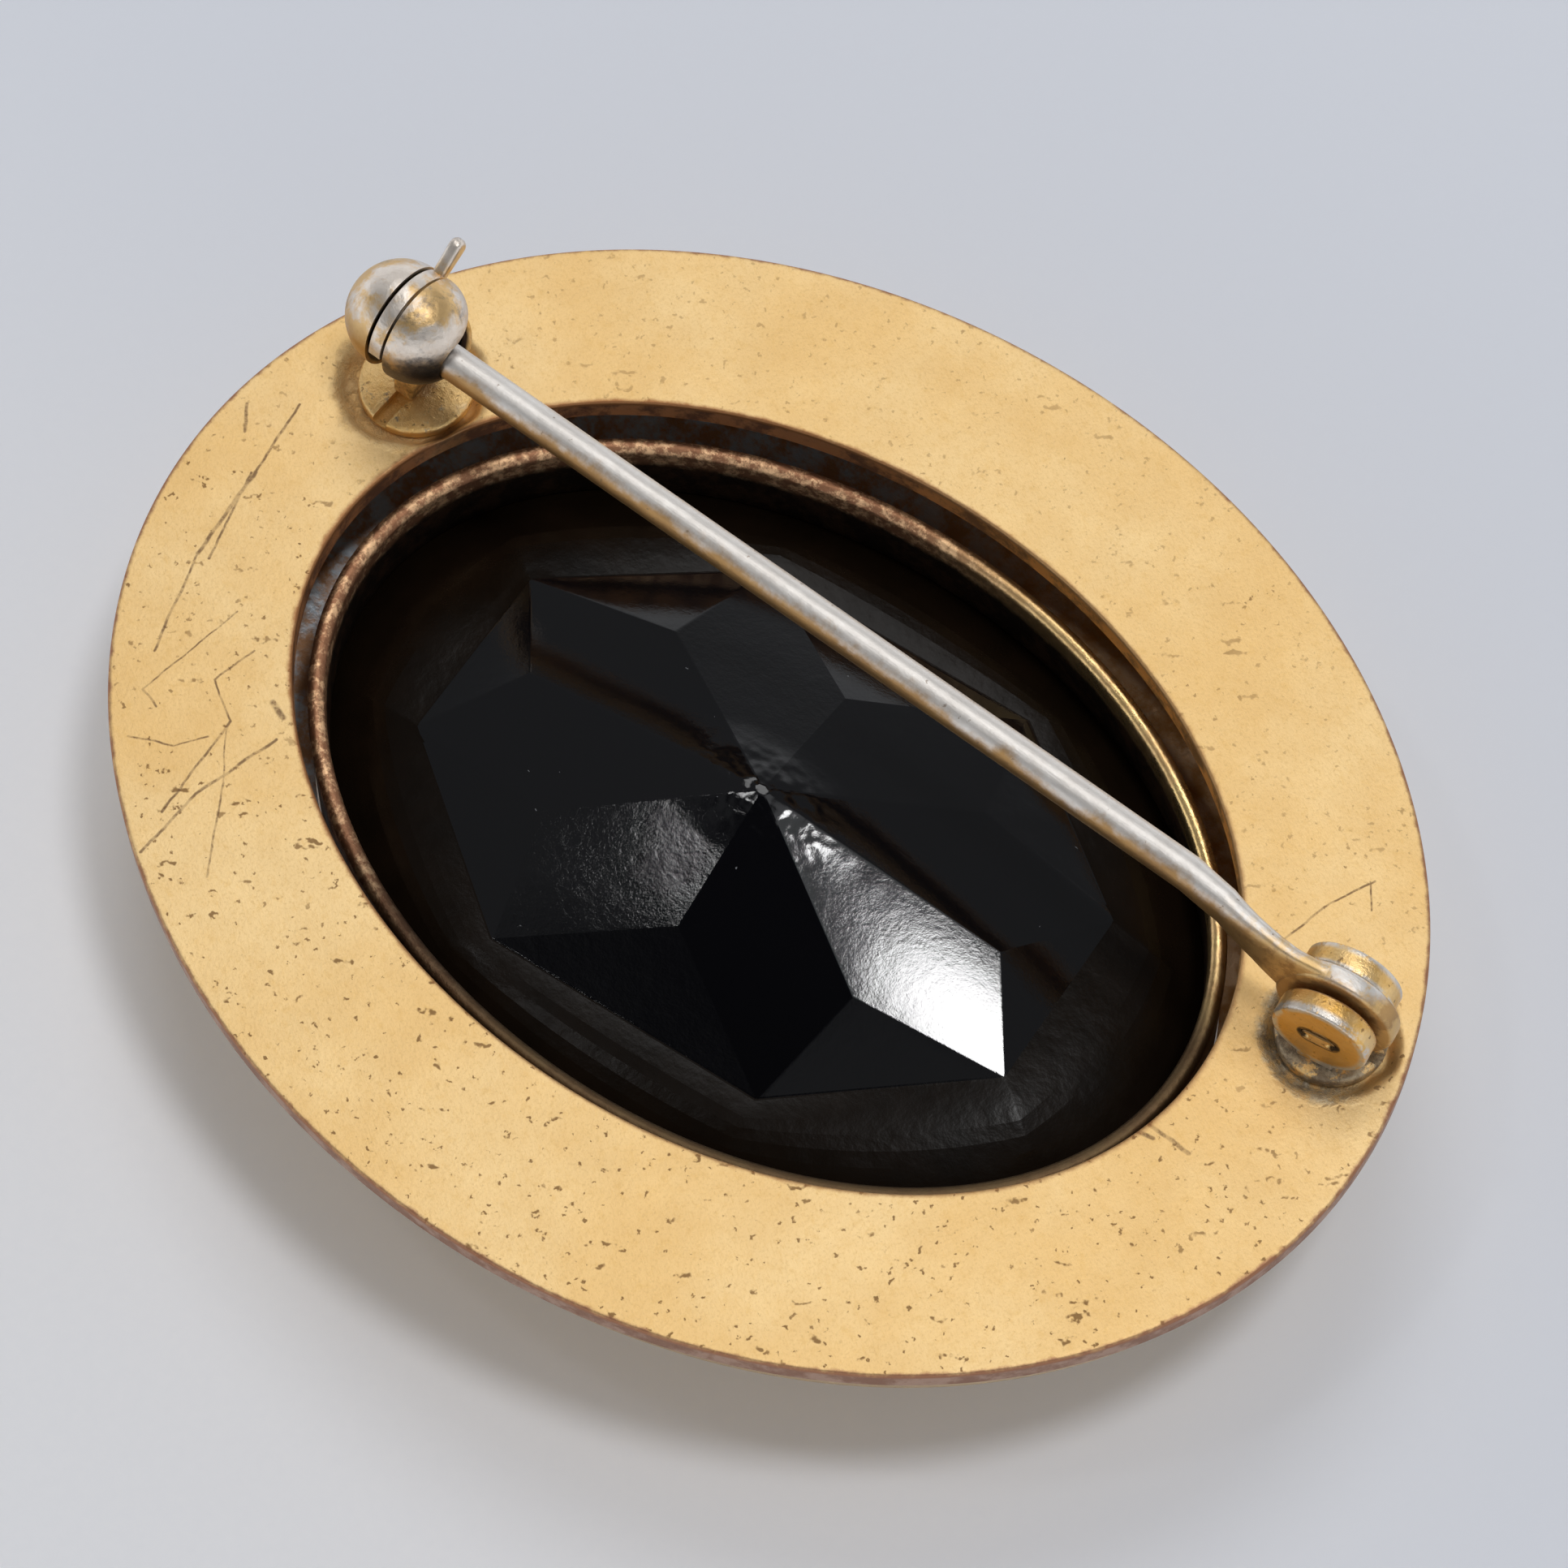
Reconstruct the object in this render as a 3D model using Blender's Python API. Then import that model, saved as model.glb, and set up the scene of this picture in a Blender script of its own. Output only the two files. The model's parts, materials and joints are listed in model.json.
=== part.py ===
"""Oval gold-plated brooch with a faceted black glass stone, lying on its front with the pin uppermost.

Origin: the middle of the stone's front facet, which is what the brooch rests on.
+X runs from the catch to the hinge, +Y towards the side that the pin is on, +Z out of the back.
Two pieces move: the pin, on the hinge rivet, and the catch's locking rotor, inside its ball.
"""

import math

import bmesh
import bpy
from mathutils import Matrix, Vector

MM = 0.001

# back plate: a flat oval ring with two stamped wells
PLATE_A, PLATE_B = 21.5 * MM, 17.3 * MM  # outer semi-axes
HOLE_A, HOLE_B = 15.94 * MM, 11.44 * MM
PLATE_TOP = 7.74 * MM
PLATE_THICK = 0.77 * MM
PLATE_EDGE = 0.1 * MM
WELL_DEPTH = 0.39 * MM
WELL_SLOPE = 0.34 * MM  # how much narrower a well is at its floor
CATCH_WELL = (-17.4 * MM, 4.21 * MM, 2.45 * MM)  # x, y, radius at the top
HINGE_WELL = (18.36 * MM, 3.96 * MM, 2.15 * MM)

# front: the dished frame shell, the deep bezel collar and the stone
SHELL_OVERHANG = 0.26 * MM  # the plate stands this far outside the shell
SHELL_WALL = 0.47 * MM
SHELL_LOW = 1.89 * MM
SEAT_GAP = 0.05 * MM  # between the front's pieces, which are pressed or soldered together
SOLDER_GAP = 0.02 * MM  # under the hinge's and the catch's pieces
WORN_EDGE = 0.09 * MM
COLLAR_GROOVE = 0.34 * MM  # open groove between the plate's hole and the collar
COLLAR_WALL = 0.56 * MM
COLLAR_TOP = 6.28 * MM
COLLAR_LOW = 2.02 * MM
LIP_ROUND = 0.4 * MM  # the collar's front corner, rounded inwards by half of this
LIP_RISE = 0.3 * MM  # the lip's thin edge, along the stone's bevel
GIRDLE_TOP, GIRDLE_LOW = 3.7 * MM, 3.1 * MM
GIRDLE_INSET = 0.73 * MM  # measured from the plate's hole
SEAT_RISE = 0.1 * MM  # the seat slopes with the stone's border
TABLE_INSET = 2.75 * MM
CULET_Z = 7.4 * MM
CULET_SIZE = 0.03  # the worn culet's flat, as a share of the kites' length
FACET_TURN = math.radians(5.0)  # the facets are cut a little askew
KITE_LONG, KITE_SHORT = 8.6 * MM, 4.64 * MM  # where two kites meet, on the long and short axes
KITE_DIAGONAL = (5.68 * MM, 3.7 * MM)
KITE_DROP = 1.5 * MM
TIP_LONG, TIP_SHORT = (10.75 * MM, 3.1 * MM), (4.82 * MM, 7.65 * MM)  # the kites' far tips

# pin: round wire, flattened into a round eye
PIN_RADIUS = 0.56 * MM
PIN_Y, PIN_Z = 4.1 * MM, PLATE_TOP + 3.44 * MM
PIN_TIP_X = -17.63 * MM
PIN_TAPER = 2.06 * MM
PIN_ROUND_END = 12.73 * MM  # the wire starts to flatten here
EYE_RADIUS = 1.92 * MM
EYE_THICK = 0.65 * MM
# how the wire becomes the eye: share of the way to the hinge, share of the set-over and of the fall,
# thickness and height as shares of the wire's, and squareness (2 is an oval)
PIN_FLATTENING = (
    (0.25, 0.15, 0.1, 0.86, 1.2, 2.3),
    (0.5, 0.6, 0.4, 0.68, 1.6, 2.8),
    (0.72, 1.0, 0.8, 0.56, 2.1, 3.5),
    (1.0, 1.0, 1.0, 0.52, 2.6, 4),
)
PIN_POINT = ((0, 0.3), (0.5, 0.72), (1, 1))  # share of the taper, share of the wire

# hinge: two round ears on a slotted base, turned a little on the plate
HINGE = Vector((18.27 * MM, 4.11 * MM, PLATE_TOP + 1.81 * MM))
HINGE_TURN = math.radians(9.0)
EAR_RADIUS = 1.54 * MM
EAR_THICK = 0.76 * MM
FRONT_GAP, REAR_GAP = 0.2 * MM, 0.11 * MM  # running clearance each side of the eye
EAR_FOOT = 1.2 * MM
RIVET_RADIUS = 0.39 * MM
RIVET_HEAD = 0.05 * MM
RIVET_FIT = 0.03 * MM
EYE_FIT = 0.05 * MM
HINGE_BASE_RADIUS = 1.72 * MM
HINGE_BASE_TOP = PLATE_TOP + 0.15 * MM
HINGE_BASE_SLOT = 0.34 * MM  # depth of the groove that the eye turns in

# catch: two domes soldered to a leg, with the rotor between them
BALL = Vector((-17.25 * MM, 4.3 * MM, PLATE_TOP + 3.65 * MM))
BALL_RADIUS = 1.76 * MM
DOME_WALL = 0.26 * MM
RIM_OFFSET = 0.34 * MM  # from the ball's middle plane to a dome's rim
ROTOR_THICK = 0.46 * MM
ROTOR_CORE = 1.33 * MM
ROTOR_RIM = 1.74 * MM
ROTOR_HOLE = 0.69 * MM
ROTOR_SLOT = 1.03 * MM  # the pin's tapered end passes here
CUP_MOUTH = 1.56 * MM  # the full wire passes here
MOUTH_SHIFT = 0.12 * MM  # the mouth's middle from the wire's, both sideways and up
ROTOR_OPEN = 75  # degrees from locked to open
RIM_START, RIM_END = -48, 174  # degrees, from +Y towards +Z, locked
LEVER_ANGLE = math.radians(31)
LEVER_LENGTH = 3.0 * MM  # from the ball's middle
LEVER_WIDTH = 0.6 * MM
LEG_HALF_ANGLE = 17
LEG_WIDTH = 1.03 * MM
LEG_THICK = 0.77 * MM
LEG_REACH = 1.4 * MM  # the leg's upper end, from the ball's middle
CATCH_BASE_RADIUS = 1.85 * MM
CATCH_BASE_TOP = PLATE_TOP + 0.09 * MM
CATCH_BASE_SLOT = 0.52 * MM  # width of the slot in the base's edge
CATCH_BASE_CUT = 0.26 * MM  # and its depth
LEG_SPREAD = 0.2 * MM  # how much the leg widens down to its base

OVAL_STEPS = 64  # a multiple of 16, so that the stone's corners match the collar's
ROUND_STEPS = 40

# from a flat drawing's (right, up, out) to the world's (+Y, +Z, +X), for what turns about X
ABOUT_X = Matrix(((0, 0, 1), (1, 0, 0), (0, 1, 0))).to_4x4()
# from a flat drawing to the hinge's upright plane
ABOUT_HINGE = Matrix.Rotation(HINGE_TURN, 4, "Z") @ Matrix.Rotation(math.radians(90), 4, "X")


def clear_scene():
    for old in list(bpy.data.objects):
        bpy.data.objects.remove(old, do_unlink=True)


def metal(name, colour, roughness, metallic=1.0):
    mat = bpy.data.materials.new(name)
    mat.use_nodes = True
    shader = mat.node_tree.nodes["Principled BSDF"]
    shader.inputs["Base Color"].default_value = (*colour, 1.0)
    shader.inputs["Roughness"].default_value = roughness
    shader.inputs["Metallic"].default_value = metallic
    mat.diffuse_color = (*colour, 1.0)
    return mat


def add(name, bm, mat=None, place=None):
    """Turns a bmesh into a named object, with flat faces kept crisp and round ones smooth."""
    bmesh.ops.recalc_face_normals(bm, faces=bm.faces)
    mesh = bpy.data.meshes.new(name)
    bm.to_mesh(mesh)
    bm.free()
    mesh.shade_smooth()
    mesh.set_sharp_from_angle(angle=math.radians(30))
    obj = bpy.data.objects.new(name, mesh)
    bpy.context.scene.collection.objects.link(obj)
    if mat:
        mesh.materials.append(mat)
    if place:
        obj.matrix_world = place
    return obj


def boolean(obj, tool, operation):
    """Cuts or joins tool, which is left out of the model itself."""
    tool.hide_render = True
    tool.display_type = "WIRE"
    step = obj.modifiers.new(operation.lower() + "_" + tool.name, "BOOLEAN")
    step.operation = operation
    step.solver = "EXACT"
    step.object = tool


def skin(bm, rings, closed):
    """Joins rings of vertices, each to the next. A closed skin joins the last to the first.

    An open one is capped.
    """
    pairs = list(zip(rings, rings[1:] + rings[:1])) if closed else list(zip(rings, rings[1:]))
    for low, high in pairs:
        count = max(len(low), len(high))
        for i in range(count):
            j = (i + 1) % count
            corners = [low[i % len(low)], low[j % len(low)], high[j % len(high)], high[i % len(high)]]
            bm.faces.new(list(dict.fromkeys(corners)))
    if not closed:
        for end in (rings[0], rings[-1]):
            if len(end) > 2:
                bm.faces.new(end)


def oval_ring(profile, steps=OVAL_STEPS):
    """An oval hoop whose section is a closed outline of (semi-axis a, semi-axis b, z)."""
    bm = bmesh.new()
    rings = []
    for a, b, z in profile:
        turns = [2 * math.pi * i / steps for i in range(steps)]
        rings.append([bm.verts.new((a * math.cos(t), b * math.sin(t), z)) for t in turns])
    skin(bm, rings, closed=True)
    return bm


def turned(profile, steps=ROUND_STEPS, closed=False):
    """A shape turned about Z from (radius, z) points. A radius of 0 closes it in a point."""
    bm = bmesh.new()
    rings = []
    for radius, z in profile:
        turns = [2 * math.pi * i / steps for i in range(steps)]
        if radius:
            rings.append([bm.verts.new((radius * math.cos(t), radius * math.sin(t), z)) for t in turns])
        else:
            rings.append([bm.verts.new((0, 0, z))])
    skin(bm, rings, closed)
    return bm


def disc(radius, low, high, edge=0.0, steps=ROUND_STEPS):
    """A round disc about Z with its two rims chamfered by edge."""
    if not edge:
        return turned([(radius, low), (radius, high)], steps)
    small = radius - edge
    return turned([(small, low), (radius, low + edge), (radius, high - edge), (small, high)], steps)


def box(low, high):
    bm = bmesh.new()
    size = [b - a for a, b in zip(low, high)]
    middle = [(a + b) / 2 for a, b in zip(low, high)]
    bmesh.ops.create_cube(bm, size=1.0, matrix=Matrix.Translation(middle) @ Matrix.Diagonal((*size, 1.0)))
    return bm


def plate_outline(outline, low, high):
    """A flat outline of (right, up) points, given thickness from low to high."""
    bm = bmesh.new()
    rings = [[bm.verts.new((u, v, w)) for u, v in outline] for w in (low, high)]
    skin(bm, rings, closed=False)
    return bm


def arc(radius, start, end, steps):
    """Points on a circle about the drawing's origin, between two angles in degrees."""
    turns = [math.radians(start + (end - start) * i / steps) for i in range(steps + 1)]
    return [(radius * math.cos(t), radius * math.sin(t)) for t in turns]


def back_plate(mat):
    low = PLATE_TOP - PLATE_THICK
    profile = [
        (PLATE_A - PLATE_EDGE, PLATE_B - PLATE_EDGE, PLATE_TOP),
        (PLATE_A, PLATE_B, PLATE_TOP - PLATE_EDGE),
        (PLATE_A, PLATE_B, low),
        (HOLE_A, HOLE_B, low),
        (HOLE_A, HOLE_B, PLATE_TOP - PLATE_EDGE),
        (HOLE_A + PLATE_EDGE, HOLE_B + PLATE_EDGE, PLATE_TOP),
    ]
    plate = add("back_plate", oval_ring(profile), mat)
    for name, (x, y, radius) in (("catch_well", CATCH_WELL), ("hinge_well", HINGE_WELL)):
        floor = PLATE_TOP - WELL_DEPTH
        slope = WELL_SLOPE / WELL_DEPTH
        above = PLATE_TOP + WELL_DEPTH
        well = turned([(radius - WELL_SLOPE, floor), (radius + slope * WELL_DEPTH, above)])
        boolean(plate, add(name, well, place=Matrix.Translation((x, y, 0))), "DIFFERENCE")


def front_shell(mat):
    """A dished oval hoop of sheet: its outer face is a quarter oval from the plate's rim to the collar."""
    top = PLATE_TOP - PLATE_THICK - SEAT_GAP
    outer_a, outer_b = PLATE_A - SHELL_OVERHANG, PLATE_B - SHELL_OVERHANG
    reach_a = outer_a - (HOLE_A - COLLAR_GROOVE + SEAT_GAP)
    reach_b = outer_b - (HOLE_B - COLLAR_GROOVE + SEAT_GAP)
    steps = 10

    def curve(wall):
        rise = top - SHELL_LOW - wall
        share = 1 - wall / reach_a
        for i in range(steps + 1):
            t = math.pi / 2 * i / steps
            # the inner face keeps the same inner edge, so the sheet ends square against the collar
            inset = 1 - math.cos(t) * share
            yield outer_a - reach_a * inset, outer_b - reach_b * inset, top - rise * math.sin(t)

    profile = list(curve(0.0)) + list(reversed(list(curve(SHELL_WALL))))
    add("front_shell", oval_ring(profile), mat)


def bezel_collar(mat):
    """The deep cup that holds the stone, with a rounded back edge, a seat and a lip over the crown."""
    outer = COLLAR_GROOVE
    inner = COLLAR_GROOVE + COLLAR_WALL
    middle = (outer + inner) / 2
    round_edge = COLLAR_WALL / 2
    profile = []
    for i in range(7):
        t = math.pi * i / 6
        profile.append((middle + round_edge * math.cos(t), COLLAR_TOP - round_edge * (1 - math.sin(t))))
    girdle = GIRDLE_INSET - SEAT_GAP
    lip = crown_inset(COLLAR_LOW + LIP_RISE) - SEAT_GAP
    profile = profile + [
        (outer, COLLAR_LOW + LIP_ROUND),
        (outer + LIP_ROUND / 2, COLLAR_LOW),
        (lip - WORN_EDGE, COLLAR_LOW),
        (lip, COLLAR_LOW + LIP_RISE),
        (girdle, GIRDLE_LOW - SEAT_GAP),
        (girdle, GIRDLE_TOP + SEAT_GAP),
        (inner, GIRDLE_TOP + SEAT_GAP + SEAT_RISE),
    ]
    add("bezel_collar", oval_ring([(HOLE_A - i, HOLE_B - i, z) for i, z in profile]), mat)


def crown_inset(z):
    """How far the crown stands inside the plate's hole at height z, from its girdle to its table."""
    return GIRDLE_INSET + (GIRDLE_LOW - z) / GIRDLE_LOW * (TABLE_INSET - GIRDLE_INSET)


def stone(mat):
    """Eight kites round a worn culet, eight triangles, a smooth border, a girdle and a bevelled front."""
    bm = bmesh.new()
    long, short, (dx, dy) = KITE_LONG, KITE_SHORT, KITE_DIAGONAL
    joints = [(long, 0), (dx, dy), (0, short), (-dx, dy), (-long, 0), (-dx, -dy), (0, -short), (dx, -dy)]
    (ax, ay), (bx, by) = TIP_LONG, TIP_SHORT
    tips = [(ax, ay), (bx, by), (-bx, by), (-ax, ay), (-ax, -ay), (-bx, -by), (bx, -by), (ax, -ay)]
    turn = Matrix.Rotation(FACET_TURN, 2)
    joints = [turn @ Vector(point) for point in joints]
    tips = [turn @ Vector(point) for point in tips]
    flat = CULET_SIZE
    culet = [bm.verts.new((x * flat, y * flat, CULET_Z - KITE_DROP * flat)) for x, y in joints]
    meet = [bm.verts.new((x, y, CULET_Z - KITE_DROP)) for x, y in joints]
    # a kite is flat, so its tip lies in the plane of the culet and its two side corners
    sides = [Matrix((joints[k], joints[(k + 1) % 8])) for k in range(8)]
    falls = [side.inverted() @ Vector((KITE_DROP, KITE_DROP)) for side in sides]
    tips = [Vector((*point, CULET_Z - fall.dot(point))) for point, fall in zip(tips, falls)]
    tip = [bm.verts.new(point) for point in tips]
    bm.faces.new(culet)

    # the border starts on the tips' octagon and ends on the oval girdle, with the same number of points
    per_side = OVAL_STEPS // 8
    edge, girdle = [], []
    for k in range(8):
        for i in range(per_side):
            point = tips[k].lerp(tips[(k + 1) % 8], i / per_side)
            edge.append(bm.verts.new(point) if i else tip[k])
            girdle.append(math.radians(22.5 + 45 * (k + i / per_side)))
    for k in range(8):
        n = (k + 1) % 8
        bm.faces.new([culet[k], culet[n], meet[n], meet[k]])
        bm.faces.new([meet[k], meet[n], tip[k]])
        side = [edge[(k * per_side + i) % len(edge)] for i in range(per_side + 1)]
        bm.faces.new([meet[n], *reversed(side)])
    rings = [edge]
    for inset, z in ((GIRDLE_INSET, GIRDLE_TOP), (GIRDLE_INSET, GIRDLE_LOW), (TABLE_INSET, 0.0)):
        a, b = HOLE_A - inset, HOLE_B - inset
        rings.append([bm.verts.new((a * math.cos(t), b * math.sin(t), z)) for t in girdle])
    for low, high in zip(rings, rings[1:]):
        for i in range(len(low)):
            j = (i + 1) % len(low)
            bm.faces.new([low[i], low[j], high[j], high[i]])
    bm.faces.new(rings[-1])
    add("stone", bm, mat)


def pin_section(bm, middle, thick, tall, square):
    """One cross-section of the pin: an oval at square = 2, nearing a rounded strip as square grows."""
    points = []
    for i in range(20):
        t = 2 * math.pi * i / 20
        c, s = math.cos(t), math.sin(t)
        u = math.copysign(abs(c) ** (2 / square), c) * thick / 2
        v = math.copysign(abs(s) ** (2 / square), s) * tall / 2
        points.append(bm.verts.new(middle + Vector((0, u, v))))
    return points


def pin_stem(mat):
    """The wire is pointed at the catch, and flattened, set over and rounded into the eye at the hinge."""
    wire = 2 * PIN_RADIUS
    run = HINGE.x - PIN_ROUND_END
    top = PIN_Z + PIN_RADIUS
    fall = top - (HINGE.z + EYE_RADIUS - WORN_EDGE)
    stations = [(PIN_TIP_X + PIN_TAPER * x, 0, 0, size, size, 2) for x, size in PIN_POINT]
    stations.append((PIN_ROUND_END, 0, 0, 1, 1, 2))
    stations += [(PIN_ROUND_END + run * station[0], *station[1:]) for station in PIN_FLATTENING]
    bm = bmesh.new()
    rings = []
    for x, share, drop, thin, high, square in stations:
        thick, tall = thin * wire, high * wire
        eye_y = HINGE.y + (x - HINGE.x) * math.tan(HINGE_TURN)
        y = PIN_Y + (eye_y - PIN_Y) * share
        # the point keeps the wire's middle, and the flattened end keeps its top edge
        z = PIN_Z if high <= 1 else top - fall * drop - tall / 2
        rings.append(pin_section(bm, Vector((x, y, z)), thick, tall, square))
    skin(bm, rings, closed=False)
    bmesh.ops.translate(bm, verts=bm.verts, vec=-HINGE)
    # the origin is on the rivet's axis, so the object turns about its own joint
    pin = add("pin_stem", bm, mat, Matrix.Translation(HINGE))
    half = EYE_THICK / 2
    place = Matrix.Translation(HINGE) @ ABOUT_HINGE
    boolean(pin, add("pin_eye", disc(EYE_RADIUS, -half, half, WORN_EDGE), place=place), "UNION")
    hole = disc(RIVET_RADIUS + EYE_FIT, -4 * half, 4 * half, steps=24)
    boolean(pin, add("pin_eye_hole", hole, place=place), "DIFFERENCE")


def hinge(plain, bright):
    """The slotted base in its well, the two round ears that stand on it, and the rivet through them."""
    floor = PLATE_TOP - WELL_DEPTH + SOLDER_GAP
    turn = Matrix.Rotation(HINGE_TURN, 4, "Z")
    foot = Matrix.Translation((HINGE.x, HINGE.y, 0)) @ turn
    base = add("hinge_base", disc(HINGE_BASE_RADIUS, floor, HINGE_BASE_TOP, WORN_EDGE), plain, foot)
    half = EYE_THICK / 2 + REAR_GAP
    reach = 2 * HINGE_BASE_RADIUS
    slot = box((-reach, -half, HINGE_BASE_TOP - HINGE_BASE_SLOT), (reach, half, PLATE_TOP + reach))
    boolean(base, add("hinge_base_slot", slot, place=foot), "DIFFERENCE")

    # an ear is a disc on a short foot
    foot_low = HINGE_BASE_TOP + SOLDER_GAP - HINGE.z
    corner = math.degrees(math.acos(EAR_FOOT / 2 / EAR_RADIUS))
    outline = arc(EAR_RADIUS, -corner, 180 + corner, 36)
    outline += [(-EAR_FOOT / 2, foot_low), (EAR_FOOT / 2, foot_low)]
    place = Matrix.Translation(HINGE) @ ABOUT_HINGE
    for name, side, gap in (("hinge_front_ear", 1, FRONT_GAP), ("hinge_rear_ear", -1, REAR_GAP)):
        near = EYE_THICK / 2 + gap
        low, high = sorted((side * near, side * (near + EAR_THICK)))
        ear = add(name, plate_outline(outline, low, high), plain, place)
        edge = ear.modifiers.new("worn_edge", "BEVEL")
        edge.width = WORN_EDGE
        edge.segments = 2
        edge.limit_method = "ANGLE"
        edge.angle_limit = math.radians(50)
        hole = disc(RIVET_RADIUS + RIVET_FIT, low - half, high + half, steps=24)
        boolean(ear, add(name + "_hole", hole, place=place), "DIFFERENCE")

    end = EYE_THICK / 2 + EAR_THICK + RIVET_HEAD
    rivet = disc(RIVET_RADIUS, -end - REAR_GAP, end + FRONT_GAP, RIVET_HEAD, steps=24)
    add("hinge_rivet", rivet, bright, place)


def dome(name, mat, side):
    """Half a hollow ball about X, open at its rim. side is +1 for the half nearest the hinge, else -1."""
    steps = 9
    profile = []
    for radius, order in ((BALL_RADIUS, range(steps, -1, -1)), (BALL_RADIUS - DOME_WALL, range(steps + 1))):
        for i in order:
            t = math.pi / 2 * i / steps
            height = RIM_OFFSET + radius * math.sin(t)
            profile.append((radius * math.cos(t) if i < steps else 0, side * height))
    return add(name, turned(profile), mat, Matrix.Translation(BALL) @ ABOUT_X)


def rotor_outline():
    """The rotor seen along X, locked: a slotted washer with a rim over part of it, and the lever."""
    half = ROTOR_SLOT / 2
    slot = 360 - ROTOR_OPEN
    at_core = math.degrees(math.asin(half / ROTOR_CORE))
    at_hole = math.degrees(math.asin(half / ROTOR_HOLE))
    bar = LEVER_WIDTH / 2
    at_bar = math.degrees(math.asin(bar / ROTOR_RIM))
    lever = math.degrees(LEVER_ANGLE)
    tip = LEVER_LENGTH - bar
    cap = [Vector((tip, 0)) + Vector(p) for p in arc(bar, -90, 90, 8)]
    turn = Matrix.Rotation(LEVER_ANGLE, 2)
    return [
        *arc(ROTOR_RIM, RIM_START, lever - at_bar, 10),
        *[tuple(turn @ p) for p in cap],
        *arc(ROTOR_RIM, lever + at_bar, RIM_END, 18),
        *arc(ROTOR_CORE, RIM_END, slot - at_core, 10),
        *arc(ROTOR_HOLE, slot - at_hole, at_hole - ROTOR_OPEN, 20),
        *arc(ROTOR_CORE, at_core - ROTOR_OPEN, RIM_START, 1),
    ]


def catch(plain, worn):
    """The slotted base in its well, the leg, the two domes, and the rotor with its lever."""
    floor = PLATE_TOP - WELL_DEPTH + SOLDER_GAP
    foot = Matrix.Translation((BALL.x, BALL.y, 0))
    base = add("catch_base", disc(CATCH_BASE_RADIUS, floor, CATCH_BASE_TOP, WORN_EDGE), plain, foot)
    half = CATCH_BASE_SLOT / 2
    reach = 2 * CATCH_BASE_RADIUS
    low = CATCH_BASE_TOP - CATCH_BASE_CUT
    slot = box((-half, -reach, low), (half, -LEG_WIDTH / 2, PLATE_TOP + half))
    boolean(base, add("catch_base_slot", slot, place=foot), "DIFFERENCE")

    # the leg is thin where it stands between the domes, and thicker below them
    place = Matrix.Translation(BALL) @ ABOUT_X
    side = LEG_WIDTH / 2
    top = BALL_RADIUS + SEAT_GAP
    low = CATCH_BASE_TOP + SOLDER_GAP - BALL.z
    web = arc(LEG_REACH, 270 - LEG_HALF_ANGLE, 270 + LEG_HALF_ANGLE, 8)
    web += [(side, -top), (side, -top - LEG_THICK), (-side, -top - LEG_THICK), (-side, -top)]
    leg = add("catch_leg", plate_outline(web[::-1], -ROTOR_THICK / 2, ROTOR_THICK / 2), plain, place)
    wide = side + LEG_SPREAD
    post = [(-side, -top), (side, -top), (wide, low), (-wide, low)]
    block = plate_outline(post, -LEG_THICK / 2, LEG_THICK / 2)
    boolean(leg, add("catch_leg_post", block, place=place), "UNION")

    dome("catch_end_dome", worn, -1)
    cup = dome("catch_pin_cup", worn, 1)
    far = 2 * BALL_RADIUS
    way = CUP_MOUTH / 2
    at_pin = Matrix.Translation((BALL.x, PIN_Y + MOUTH_SHIFT, PIN_Z + MOUTH_SHIFT)) @ ABOUT_X
    hole = disc(way, RIM_OFFSET / 2, far, steps=24)
    boolean(cup, add("catch_cup_hole", hole, place=at_pin), "DIFFERENCE")
    mouth = box((0, -way, 0), (far, way, far))
    boolean(cup, add("catch_cup_mouth", mouth, place=at_pin), "DIFFERENCE")

    # the rotor's origin is the ball's middle, on the axis that it turns about
    thick = ROTOR_THICK / 2
    add("catch_rotor", plate_outline(rotor_outline(), -thick, thick), worn, place)


def main():
    clear_scene()
    satin_gold = metal("satin_gold", (0.80, 0.55, 0.24), 0.42)
    polished_gold = metal("polished_gold", (0.86, 0.58, 0.22), 0.2)
    worn_gold = metal("worn_gold", (0.66, 0.54, 0.38), 0.36)
    nickel = metal("worn_nickel", (0.62, 0.58, 0.53), 0.3)
    black_glass = metal("black_glass", (0.004, 0.004, 0.005), 0.03, metallic=0.0)
    back_plate(satin_gold)
    front_shell(polished_gold)
    bezel_collar(polished_gold)
    stone(black_glass)
    hinge(satin_gold, worn_gold)
    catch(satin_gold, worn_gold)
    pin_stem(nickel)


main()
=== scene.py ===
"""Looks for the oval brooch: fine meshes in the places of its CAD nodes, worn metal and black glass.

Lengths are written as millimetres times MM. The brooch lies face down: +X runs from the catch to the
hinge, and +Z points up, out of its back.
"""

import json
import math
from math import cos, sin

import bmesh
import bpy
from mathutils import Matrix, Vector


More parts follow.
